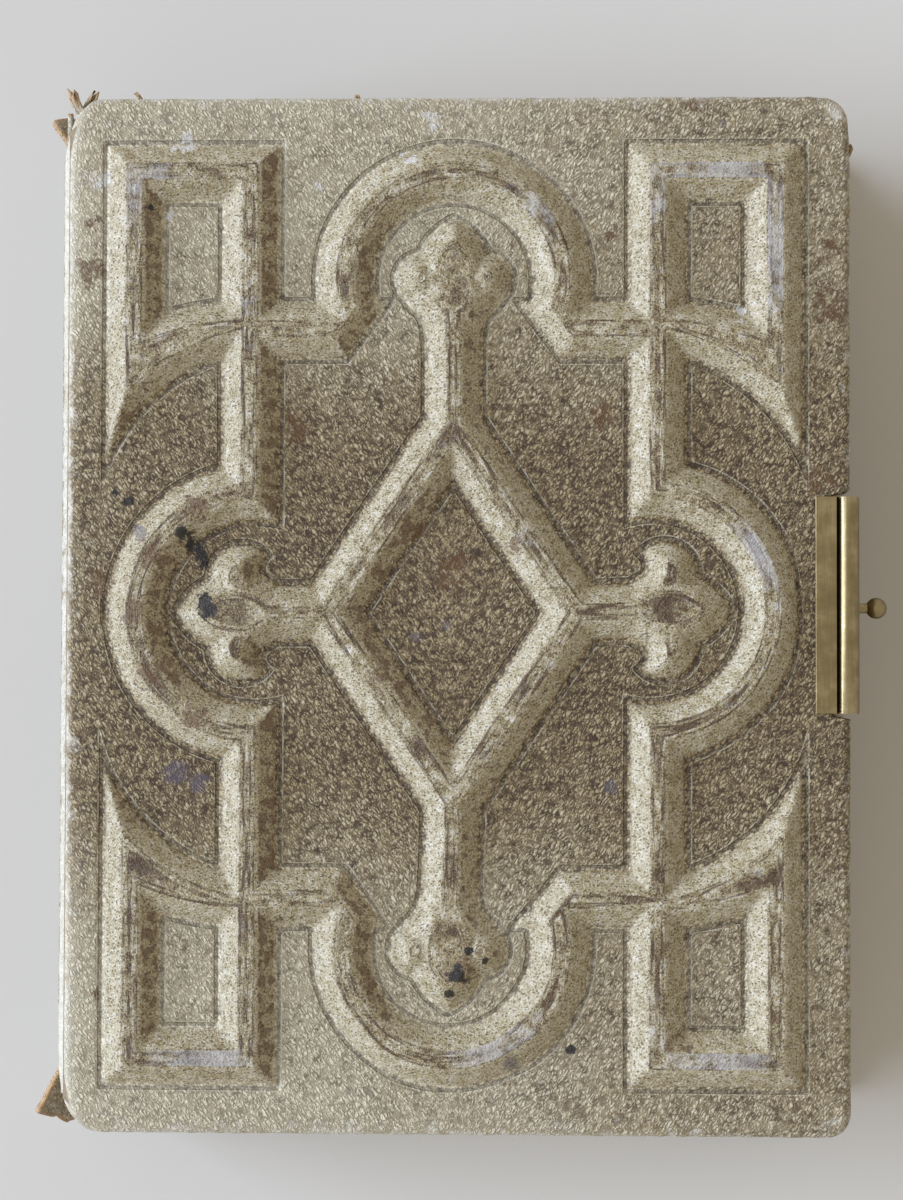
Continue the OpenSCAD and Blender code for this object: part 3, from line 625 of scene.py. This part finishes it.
# spine, torn at head and tail
spineShape = dict(  # mm
    thick=0.8, over=1.6, step=0.75, rows=34, upperRows=9, sunk=0.1, weld=0.02,
    tearZ=28.4, tailEnd=-60.0, headEnd=70.0, tearFade=1.0, ragged=0.9, raggedMiddle=0.3,
    tailLift=5.0, headLift=3.6, tailLow=12.2, headLow=19.4, liftMost=1.05, liftBend=1.9,
    freeFrom=66.0, cutBack=2.6, cutRange=(0.45, 1.05), cutRagged=2.0, taper=14.0, headTaper=2.0, least=0.3,
    tearNoise=(1.6, 40, 3, 71), endNoise=(3.5, 11, 5, 79), footNoise=(1.4, 9, 8, 77),  # as in edgeNoise
    wave=(0.16, 5.0, 3.0, 20, 83),  # as in ripple
    lowerRim=0.975, upperRim=0.1, pale=0.55, rub=0.1, creaseRub=0.3, creaseFade=(0.5, 4.0), endRub=0.4,
    endFade=(62, 72), russetAndShade=[(-69, 20, 5), (72, 24, 4)],
)


def flapLift(y, z, yEnd):  # the flaps stand off more towards their free corners
    c = spineShape
    out = np.zeros_like(y)
    for end, edge, lowZ, most in ((-yEnd, c["tailEnd"], c["tailLow"], c["tailLift"]),
                                  (yEnd, c["headEnd"], c["headLow"], c["headLift"])):
        along = (y - edge) / (end - edge)
        up = (z - c["tearZ"]) / (c["tearZ"] - lowZ)
        out = out + most * np.clip(along + up, 0, c["liftMost"]) ** c["liftBend"] * (along > 0)
    return out


def buildSpine():
    c = spineShape
    low, high = boxMm("spine_leather")
    outerX = boxMm("front_leather")[0][0]  # the spine's outer face lies under the covers' edge
    yEnd = high[1] + c["over"]
    ys = np.linspace(-yEnd, yEnd, int(2 * yEnd / c["step"]))
    torn = 1 - smooth(ys, c["tailEnd"] - c["tearFade"], c["tailEnd"])
    torn = torn + smooth(ys, c["headEnd"], c["headEnd"] + c["tearFade"])
    ragged = c["ragged"] * torn * (edgeNoise(ys, *c["tearNoise"]) - c["raggedMiddle"])
    # lower sheet: whole up to the tear, with free ends that are ragged and cut back towards the corner
    yy, tt = np.meshgrid(ys, np.linspace(0, 1, c["rows"]), indexing="ij")
    zLow = low[2] + ((c["tearZ"] + ragged)[:, None] - low[2]) * tt
    corner = smooth((zLow - low[2]) / (c["tearZ"] - low[2]), *c["cutRange"])
    back = c["cutBack"] * corner ** 2 + c["cutRagged"] * (edgeNoise(zLow, *c["endNoise"]) - c["raggedMiddle"])
    yLow = yy - np.sign(yy) * smooth(np.abs(yy), c["freeFrom"], yEnd) * back
    lower = np.stack([outerX - flapLift(yy, zLow, yEnd), yLow, zLow], -1)
    # upper strip: whole between the tears, narrowing to nothing over them
    beyond = np.maximum(c["tailEnd"] - ys, 0) + c["headTaper"] * np.maximum(ys - c["headEnd"], 0)
    footZ = c["tearZ"] + (high[2] - c["tearZ"]) / c["taper"] * beyond
    footZ = footZ + c["ragged"] * torn * (edgeNoise(ys, *c["footNoise"]) - 0.5)
    keep = footZ < high[2] - c["least"]
    yu, tu = np.meshgrid(ys[keep], np.linspace(0, 1, c["upperRows"]), indexing="ij")
    zUp = footZ[keep][:, None] * (1 - tu) + high[2] * tu
    zUp[:, 0] = np.where(torn[keep] > 0, zUp[:, 0], c["tearZ"])
    upper = np.stack([np.full_like(yu, outerX), yu, zUp], -1)
    points, faces, rims = [], [], []
    sheets = ((lower, torn, tt > c["lowerRim"]), (upper, torn[keep], tu < c["upperRim"]))
    for sheet, tornHere, atRim in sheets:
        y, z = sheet[..., 1], sheet[..., 2]
        sheet[..., 0] += c["sunk"] + ripple(y, z, c["wave"])
        quads, _ = gridFaces(*y.shape)
        faces += (quads[:, turnedOver] + len(points)).tolist()
        points += sheet.reshape(-1, 3).tolist()
        rim = np.clip(tornHere, 0, 1)[:, None] * atRim
        rim[[0, -1]] = 1
        rims += rim.ravel().tolist()
    _, y, z = np.array(points).T
    marks = plainMarks(len(points), c["pale"], c["rub"])
    crease = 1 - smooth(np.minimum(z - low[2], high[2] - z), *c["creaseFade"])
    channel(marks, "torn")[:] = rims
    channel(marks, "suedeAndHighlight")[:] += c["creaseRub"] * crease + c["endRub"] * smooth(np.abs(y), *c["endFade"])
    channel(marks, "russetAndShade")[:] = spots(y, z, c["russetAndShade"])
    piece = makePiece("spine_leather_torn", points, faces, leather, bodyOf["spine_leather"],
                      ("spine_leather",), marks)
    addWeld(piece, c["weld"])
    addSkin(piece, c["thick"])


jointShape = dict(  # mm
    rows=160, steps=25, tuck=0.3, pared=-0.05, swell=0.15, inner=0.25, bend=1.5, pale=0.6, rub=0.4,
    wave=(0.04, 4.0, 2.0, 5, 91),  # as in ripple
)


def buildJoint(name, node, coverNode, upwards):  # leather that flexes at the cover
    c, thick, spineR = jointShape, coverShape["thick"], coverShape["spineR"]
    low, high = boxMm(node)
    midZ = (low[2] + high[2]) / 2
    foot = boxMm(coverNode)[0 if upwards > 0 else 1][2]
    shoulder = foot + upwards * (thick - spineR + c["tuck"])  # it ends under the cover's rounded shoulder
    bottom, top = low[2], high[2]
    if upwards > 0:
        top = min(top, max(shoulder, midZ))
    else:
        bottom = max(bottom, min(shoulder, midZ))
    ys, zs = np.linspace(low[1], high[1], c["rows"]), np.linspace(bottom, top, c["steps"])
    yy, zz = np.meshgrid(ys, zs, indexing="ij")
    across = (zz - midZ) / (high[2] - midZ)
    over = np.clip(upwards * (zz - foot) - (thick - spineR), 0, spineR)
    side = high[0] + spineR - np.sqrt(spineR ** 2 - over ** 2)  # follows the cover's rounded back edge
    thin = c["pared"] + c["swell"] * (1 - across ** 2)  # pared where it is pasted down
    outer = side - thin + ripple(yy, zz, c["wave"])
    points = np.concatenate([np.stack([x, yy, zz], -1).reshape(-1, 3) for x in (outer, side + c["inner"])])
    marks = plainMarks(len(points), c["pale"], c["rub"])
    faces = sheetFaces(*yy.shape, turnedOver)
    piece = makePiece(name, points, faces, leather, None, (node,), marks)
    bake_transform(piece)


# Grey-brown pulp board, pressed and glued: coarse fibres, dull
pulpBoard = dict(
    colours=((0.3, "#8d806a"), (0.7, "#b3a58d")), depth=0.1, strength=0.6, surface={"Roughness": 0.9},
    fibre=0.8, fibreNoise={"Detail": 5.0, "Roughness": 0.7}, cut=4.0, inset=0.3,
)


def boardMaterial():
    look = pulpBoard
    material, add, place = newMaterial("millboard_pulp")
    fibre = add("TexNoise", {"Vector": place, "Scale": perMm(look["fibre"]), **look["fibreNoise"]})
    colour = add("ValToRGB", {0: fibre}, stops=look["colours"])
    closeMaterial(add, look, colour, fibre)
    return material


board = boardMaterial()


def buildBoard(name, node):  # the corners are cut so that the leather can turn round them
    low, high = boxMm(node)
    low[:2] += pulpBoard["inset"]
    high[:2] -= pulpBoard["inset"]
    cut = pulpBoard["cut"]
    outline = []
    for x, y, dx, dy in ((low[0], low[1], 1, 1), (high[0], low[1], -1, 1), (high[0], high[1], -1, -1),
                         (low[0], high[1], 1, -1)):
        ends = [(x, y + dy * cut), (x + dx * cut, y)]
        outline += ends if dx * dy > 0 else ends[::-1]
    n = len(outline)
    points = [(x, y, z) for z in (low[2], high[2]) for x, y in outline]
    faces = [tuple(range(n))[::-1], tuple(range(n, 2 * n))]
    faces += tubeFaces(2, n)
    makePiece(name, points, faces, board, bodyOf[node], (node,), flat=True)


# scraps of torn leather that still hang on at the front cover's edges
flakes = [  # x, y, z of the root in mm, direction in degrees, length, width, lift
    (-57.3, 76.4, 38.4, 112, 3.4, 1.5, 0.7), (-56.2, 77.2, 38.0, 64, 2.4, 1.1, 0.8),
    (-48.0, 77.7, 38.8, 140, 2.0, 0.8, 0.5), (-15.4, 77.8, 38.6, 100, 1.3, 0.8, 0.3),
    (58.6, 69.6, 38.4, 50, 1.8, 0.6, 0.3), (58.7, 61.0, 38.2, 10, 0.9, 0.5, 0.2),
]
flakeShape = dict(
    across=6, along=9, thick=0.35, root=0.8, sunk=0.3, taper=0.3, curl=0.35, curlTurn=2.6, cup=0.5,  # mm
    jag=0.8, jagSteps=(7.3, 1.7, 3.1), seed=211, pale=0.6, rub=0.7, torn=0.9,
)


def buildFlakes():
    c = flakeShape
    points, faces, rim = [], [], []
    across, along = c["across"], c["along"]
    flakeStep, pointStep, rowStep = c["jagSteps"]
    for k, (rootX, rootY, rootZ, heading, length, width, lift) in enumerate(flakes):
        cos, sin = math.cos(math.radians(heading)), math.sin(math.radians(heading))
        base = len(points)
        jagPlaces = k * flakeStep + np.arange(across) * pointStep
        jags = valueNoise(jagPlaces, np.full(across, k * rowStep), c["seed"])
        for i in range(along):
            t = i / (along - 1)
            for j in range(across):
                u = j / (across - 1) - 0.5
                reach = length * (t + c["jag"] * (jags[j] - 0.5) * t) - c["root"]
                off = width * (u * (1 - c["taper"] * t) + c["curl"] * math.sin(c["curlTurn"] * t + k))
                rise = lift * t * t + c["cup"] * u * u * t - c["sunk"] * (1 - t)
                x, y = rootX + reach * cos - off * sin, rootY + reach * sin + off * cos
                points.append((x, y, rootZ + rise))
                rim.append(c["torn"] * t)
        for i in range(along - 1):
            for j in range(across - 1):
                a = base + i * across + j
                faces.append((a + across, a + across + 1, a + 1, a))
    marks = plainMarks(len(points), c["pale"], c["rub"])
    channel(marks, "torn")[:] = rim
    piece = makePiece("torn_leather_scraps", points, faces, leather, "front_cover", (), marks)
    addSkin(piece, c["thick"])


buildFlakes()
buildBoard("front_board_cut", "front_board")
buildBoard("back_board_cut", "back_board")
buildSpine()
buildJoint("front_joint_crease", "front_joint_leather", "front_leather", 1)
buildJoint("back_joint_crease", "back_joint_leather", "back_leather", -1)
print("spine and joints laid")


# Sized book paper and wove endpaper, yellowed: matt, faintly fibrous, toned unevenly, a few rusty spots
agedPaper = dict(
    sheet="#ddd0b2", leaf="#c3ad82", end="#cdbb93", tonedAt=(0.5, 1.0), fibreShare=0.6, fox="#9c7648",
    fibre=0.35, cloud=34.0, noise={"Detail": 4.0, "Roughness": 0.65}, depth=0.03, strength=0.6,
    surface={"Roughness": 0.85, "IOR": 1.5},
    foxSize=9.0, foxRange=(0.72, 1.0, 0.0, 0.12), foxRough=0.12, foxEdge=(0.04, 0.14, 0.0, 0.4),
)


def paperMaterial(name, toned):
    look = agedPaper
    material, add, place = newMaterial(name)
    fibre, cloud = (add("TexNoise", {"Vector": place, "Scale": perMm(look[key]), **look["noise"]})
                    for key in ("fibre", "cloud"))
    tone = add("Math", {0: fibre, 1: look["fibreShare"], 2: cloud}, operation="MULTIPLY_ADD")
    colour = add("ValToRGB", {0: tone}, stops=list(zip(look["tonedAt"], (toned, look["sheet"]))))
    cell = {"Vector": place, "Scale": perMm(look["foxSize"])}
    foxing = add("TexVoronoi", cell)
    chance = add("SeparateColor", {0: add("TexVoronoi", cell, out="Color")})
    reach = add("MapRange", dict(enumerate((chance,) + look["foxRange"])))  # most cells stay clean
    inside = add("Math", {0: fibre, 1: look["foxRough"], 2: reach}, operation="MULTIPLY_ADD")
    inside = add("Math", {0: inside, 1: foxing}, operation="SUBTRACT")
    spot = add("MapRange", dict(enumerate((inside,) + look["foxEdge"])), interpolation_type="SMOOTHSTEP")
    colour = add("Mix", {0: spot, 6: colour, 7: linear(look["fox"])}, out=2, data_type="RGBA")
    closeMaterial(add, look, colour, fibre)
    return material


leafPaper = paperMaterial("book_paper_sized", agedPaper["leaf"])
endPaper = paperMaterial("endpaper_wove", agedPaper["end"])

# each gathering is four folded sheets, so eight leaves
gatheringShape = dict(  # mm
    count=16, sheets=4, leaf=0.185, gap=0.015, foldSteps=6, foldDepth=0.9, leafSteps=4, rows=13, trim=0.05,
    uneven=0.22, wave=0.05, waveTurns=(5, 2), wavePhase=6, shuffle=0.12, seed=400,
)


def buildGathering(i):
    c = gatheringShape
    node = "gathering_%02d" % i
    low, high = boxMm(node)
    midZ = (low[2] + high[2]) / 2
    foldX = low[0] + (high[2] - low[2]) / 2
    draw = np.random.default_rng(c["seed"] + i)
    turns = np.linspace(math.pi / 2, 3 * math.pi / 2, c["foldSteps"] + 1)
    spans = np.linspace(1, 0, c["leafSteps"] + 1)[:-1]
    alongTurn, awayTurn = c["waveTurns"]
    points, faces = [], []
    for s in range(c["sheets"]):
        outer = (c["sheets"] - s) * (c["leaf"] + c["gap"])
        ends = high[0] - c["trim"] - c["uneven"] * draw.random(2)
        trims = c["uneven"] * draw.random(4)
        path = []  # outline of the folded sheet: top leaf, fold, lower leaf and back along the inside
        for radius, order in ((outer, 1), (outer - c["leaf"], -1)):
            upper = [(foldX + (ends[0] - foldX) * f, radius) for f in spans]
            bend = [(foldX + c["foldDepth"] * radius * math.cos(a), radius * math.sin(a)) for a in turns]
            under = [(foldX + (ends[1] - foldX) * f, -radius) for f in spans[::-1]]
            path += (upper + bend + under)[::order]
        path = np.array(path)
        phase = draw.random() * c["wavePhase"]
        base = len(points)
        top = path[:, 1] > 0
        head = np.where(top, high[1] - trims[0], high[1] - trims[1])
        tail = np.where(top, low[1] + trims[2], low[1] + trims[3])
        away = np.clip((path[:, 0] - foldX) / (high[0] - foldX), 0, 1)
        for f in np.linspace(0, 1, c["rows"]):
            bow = c["wave"] * away * np.sin(phase + alongTurn * f + awayTurn * away)
            x = path[:, 0] + c["shuffle"] * (draw.random() - 0.5) * away
            points += np.stack([x, tail + (head - tail) * f, midZ + path[:, 1] + bow], -1).tolist()
        n = len(path)
        faces += tubeFaces(c["rows"], n, base)
        last = base + (c["rows"] - 1) * n
        for j in range(n // 2 - 1):  # ends of the sheet, between its outer and inner faces
            a, b, d, e = j, j + 1, n - 2 - j, n - 1 - j
            faces.append((base + a, base + e, base + d, base + b))
            faces.append((last + a, last + b, last + d, last + e))
    makePiece(node + "_leaves", points, faces, leafPaper, bodyOf[node], (node,), flat=True)


for i in range(1, gatheringShape["count"] + 1):
    buildGathering(i)

flyleafShape = dict(  # mm
    steps=(40, 50), trimX=0.3, trimY=0.2, half=0.06, fray=0.25, frayNoise=(9.0, 4, 2),  # as in edgeNoise
    wave=(0.1, 30.0, 30.0, 7, 1),  # as in ripple
)


def buildFlyleaf(name, node, seed):
    c = flyleafShape
    low, high = boxMm(node)
    xs = np.linspace(low[0], high[0] - c["trimX"], c["steps"][0])
    ys = np.linspace(low[1] + c["trimY"], high[1] - c["trimY"], c["steps"][1])
    xx, yy = np.meshgrid(xs, ys, indexing="ij")
    xx = xx + c["fray"] * (edgeNoise(yy, *c["frayNoise"], seed) - 0.5) * (xx > xs[-2])
    zz = (low[2] + high[2]) / 2 + ripple(xx, yy, c["wave"], seed)
    points = np.concatenate([np.stack([xx, yy, zz + way * c["half"]], -1).reshape(-1, 3) for way in (1, -1)])
    makePiece(name, points, sheetFaces(*xx.shape, asDrawn), endPaper, bodyOf[node], (node,))


buildFlyleaf("front_flyleaf_sheet", "front_flyleaf", seed=131)
buildFlyleaf("back_flyleaf_sheet", "back_flyleaf", seed=137)
print("leaves gathered")


# Silk sewn over a cord, two faded colours in turn: fine ridges with a soft sheen, dusty
endband = dict(
    colours=((0.15, "#8a4b3c"), (0.45, "#d6c7a2")), depth=0.05, strength=0.7,
    thread=0.55, fuzz=0.25, fuzzDetail=3.0, fuzzShare=0.6,
    surface={"Roughness": 0.5, "IOR": 1.5, "Sheen Weight": 0.4, "Sheen Roughness": 0.4},
    sides=20, perThread=6, core=0.84, ridge=0.15, ridgeBend=0.7, endPinch=0.7, tilt=0.1, gap=0.05,  # shape
)


def silkMaterial():
    look = endband
    material, add, place = newMaterial("silk_endband_sewn")
    z = add("SeparateXYZ", {0: place}, out=2)
    turn = add("Math", {0: z, 1: math.pi * perMm(2 * look["thread"])}, operation="MULTIPLY")
    stripe = add("Math", {0: turn}, operation="SINE")
    fuzz = add("TexNoise", {"Vector": place, "Scale": perMm(look["fuzz"]), "Detail": look["fuzzDetail"]})
    tone = add("Math", {0: fuzz, 1: look["fuzzShare"], 2: stripe}, operation="MULTIPLY_ADD")
    colour = add("ValToRGB", {0: tone}, stops=look["colours"])
    closeMaterial(add, look, colour, fuzz)
    return material


silk = silkMaterial()


def buildBand(name, node):
    c = endband
    low, high = boxMm(node)
    mid = (low + high) / 2
    r = (high[0] - low[0]) / 2
    sides = c["sides"]
    zs = np.arange(low[2] + c["gap"], high[2], c["thread"] / c["perThread"])
    points = []
    for k, z in enumerate(zs):
        ridge = abs(math.sin(math.pi * (z - low[2]) / c["thread"]))
        radius = r * (c["core"] + c["ridge"] * ridge ** c["ridgeBend"])
        if k in (0, len(zs) - 1):
            radius *= c["endPinch"]
        for j in range(sides):
            cos, sin = math.cos(2 * math.pi * j / sides), math.sin(2 * math.pi * j / sides)
            points.append((mid[0] + radius * cos, mid[1] + radius * sin, z + c["tilt"] * sin))
    last = (len(zs) - 1) * sides
    faces = tubeFaces(len(zs), sides) + [tuple(range(sides))[::-1], tuple(range(last, last + sides))]
    makePiece(name, points, faces, silk, bodyOf[node], (node,))


buildBand("head_band_silk", "head_band")
buildBand("tail_band_silk", "tail_band")
print("end bands sewn")


# Rolled brass, filed and left to tone: tarnished olive, paler where it is rubbed, with fine drawn lines
agedBrass = dict(
    colours=((0.15, "#5c4f37"), (0.6, "#857655"), (1.0, "#b9aa84")), depth=0.008, strength=0.6,
    spot=5.0, spotNoise={"Detail": 6.0, "Roughness": 0.65}, lineSize=(0.2, 6.0, 0.2), lineShare=0.25,
    grit=0.18, fineDetail=3.0, roughRange=(0.3, 0.95, 0.42, 0.26), surface={"Metallic": 1.0},
)


def brassMaterial():
    look = agedBrass
    material, add, place = newMaterial("brass_rolled_toned")
    lineScale = [perMm(v) for v in look["lineSize"]]
    stretched = add("VectorMath", {0: place, 1: lineScale}, operation="MULTIPLY")
    lines = add("TexNoise", {"Vector": stretched, "Scale": 1.0, "Detail": look["fineDetail"]})
    cloud = add("TexNoise", {"Vector": place, "Scale": perMm(look["spot"]), **look["spotNoise"]})
    grit = add("TexNoise", {"Vector": place, "Scale": perMm(look["grit"]), "Detail": look["fineDetail"]})
    tone = add("Math", {0: lines, 1: look["lineShare"], 2: cloud}, operation="MULTIPLY_ADD")
    rough = add("MapRange", dict(enumerate((tone,) + look["roughRange"])))
    height = add("Math", {0: lines, 1: grit}, operation="ADD")
    colour = add("ValToRGB", {0: tone}, stops=look["colours"])
    closeMaterial(add, look, colour, height, Roughness=rough)
    return material


# Unbleached linen in a plain weave, stiff with glue: dull threads that cross, with darker gaps between.
# Threads of 0.7 mm are too fine to show, so they are drawn about six times as coarse
linenCloth = dict(
    colours=((0.2, "#9b8f74"), (0.8, "#d2c8ae")), depth=0.1, strength=0.8, surface={"Roughness": 0.9},
    thread=0.7, coarser=2 * math.pi, radiansPerUnit=20, uneven=0.4,
)


def linenMaterial():
    look = linenCloth
    material, add, place = newMaterial("linen_plain_weave")
    spacing = look["thread"] * look["coarser"]
    scale = 2 * math.pi * perMm(spacing) / look["radiansPerUnit"]  # the wave texture's own turns
    threads = []
    for axis in ("Y", "Z"):
        threads.append(add("TexWave", {
            "Vector": place, "Scale": scale, "Distortion": look["uneven"]}, bands_direction=axis))
    weave = add("Math", dict(enumerate(threads)), operation="MAXIMUM")
    colour = add("ValToRGB", {0: weave}, stops=look["colours"])
    closeMaterial(add, look, colour, weave)
    return material


filedEdges = dict(plate=0.1, small=0.06, segments=3, sharpest=40.0, weld=0.001)  # mm, and degrees


def finishNode(node, material, bevel=0):  # new finish for a CAD node that stays
    piece = nodes[node]
    piece.data.materials.clear()
    piece.data.materials.append(material)
    if bevel:
        addWeld(piece, filedEdges["weld"])
        soft = piece.modifiers.new("filed_edges", "BEVEL")
        soft.width = bevel * mm
        soft.segments = filedEdges["segments"]
        soft.limit_method = "ANGLE"
        soft.angle_limit = math.radians(filedEdges["sharpest"])
        soft.harden_normals = True
        soft.use_clamp_overlap = True


brass, linen = brassMaterial(), linenMaterial()
for node in ("catch_plate", "hasp", "hinge_plate"):
    finishNode(node, brass, filedEdges["plate"])
for node in ("catch_pins", "thumb_knob", "hinge_pin", "hinge_nails"):
    finishNode(node, brass, filedEdges["small"])
finishNode("spine_card", board)
for node in ("spine_mull", "sewing_tapes"):
    finishNode(node, linen)
for node in ("front_pastedown", "back_pastedown"):
    finishNode(node, endPaper)
print("clasp, boards and linings finished")


# stage, light and camera
# Painted board, rolled on matt: even and pale, with hardly any shine
floorLook = dict(
    colours=((0.3, "#c6c3bd"), (0.7, "#cbc8c2")), surface={"Roughness": 1.0, "Specular IOR Level": 0.1},
    cloud=200.0, half=3000.0, drop=0.2,  # mm
)


def floorMaterial():
    look = floorLook
    material, add, place = newMaterial("matt_painted_board")
    tint = add("TexNoise", {"Vector": place, "Scale": perMm(look["cloud"])})
    colour = add("ValToRGB", {0: tint}, stops=look["colours"])
    surface = add("BsdfPrincipled", {"Base Color": colour, **look["surface"]})
    add("OutputMaterial", {"Surface": surface})
    return material


def makeStage():
    half = floorLook["half"] * mm
    mesh = bpy.data.meshes.new("floor")
    corners = [(-half, -half, 0), (half, -half, 0), (half, half, 0), (-half, half, 0)]
    mesh.from_pydata(corners, [], [(0, 1, 2, 3)])
    mesh.materials.append(floorMaterial())
    floor = bpy.data.objects.new("floor", mesh)
    bpy.context.scene.collection.objects.link(floor)
    floor.location.z = -floorLook["drop"] * mm


lightSet = dict(
    windowTurn=(0.0, -63.0, -5.0), windowSpread=46.0, windowStrength=5.35, windowColour="#d9e7ff",  # degrees
    skyStrength=0.6, skyColour="#fcf3e4", wallStrength=1.0, wallColour="#e6e3dd",
)


def makeLight():
    s = lightSet
    lamp = bpy.data.lights.new("window", "SUN")  # wide and far off, so the floor is lit evenly
    lamp.angle = math.radians(s["windowSpread"])
    lamp.energy = s["windowStrength"]
    lamp.color = linear(s["windowColour"])[:3]
    window = bpy.data.objects.new("window", lamp)
    window.rotation_euler = [math.radians(v) for v in s["windowTurn"]]  # low on the spine's side
    bpy.context.scene.collection.objects.link(window)
    world = bpy.data.worlds.new("pale_room")
    bpy.context.scene.world = world
    add = nodeAdder(world)
    seen = 0.0
    for kind in ("Is Camera Ray", "Is Glossy Ray", "Is Transmission Ray"):
        ray = add("LightPath", out=kind)
        seen = add("Math", {0: seen, 1: ray}, operation="ADD", use_clamp=True)
    room = add("Background", {0: linear(s["skyColour"]), 1: s["skyStrength"]})
    wall = add("Background", {0: linear(s["wallColour"]), 1: s["wallStrength"]})
    both = add("MixShader", {0: seen, 1: room, 2: wall})
    add("OutputWorld", {"Surface": both})


cameraSet = dict(  # mm and degrees; the focal length is in pixels of the photograph's frame
    place=(11.9, -11.0, 452.0), turn=(1.81, 1.755, 0.18), focalPx=2748, frameHighPx=1200, sensor=36.0,
    clip=(0.01, 20),  # metres
)


def makeCamera():
    s = cameraSet
    lens = bpy.data.cameras.new("camera")
    lens.sensor_width = s["sensor"]
    lens.lens = s["focalPx"] * s["sensor"] / s["frameHighPx"]  # the long side takes the sensor's width
    lens.clip_start, lens.clip_end = s["clip"]
    camera = bpy.data.objects.new("camera", lens)
    camera.location = [v * mm for v in s["place"]]
    camera.rotation_euler = [math.radians(v) for v in s["turn"]]
    bpy.context.scene.collection.objects.link(camera)
    bpy.context.scene.camera = camera


makeStage()
makeLight()
makeCamera()
bpy.context.scene.view_settings.view_transform = "Standard"
print("stage, light and camera set")
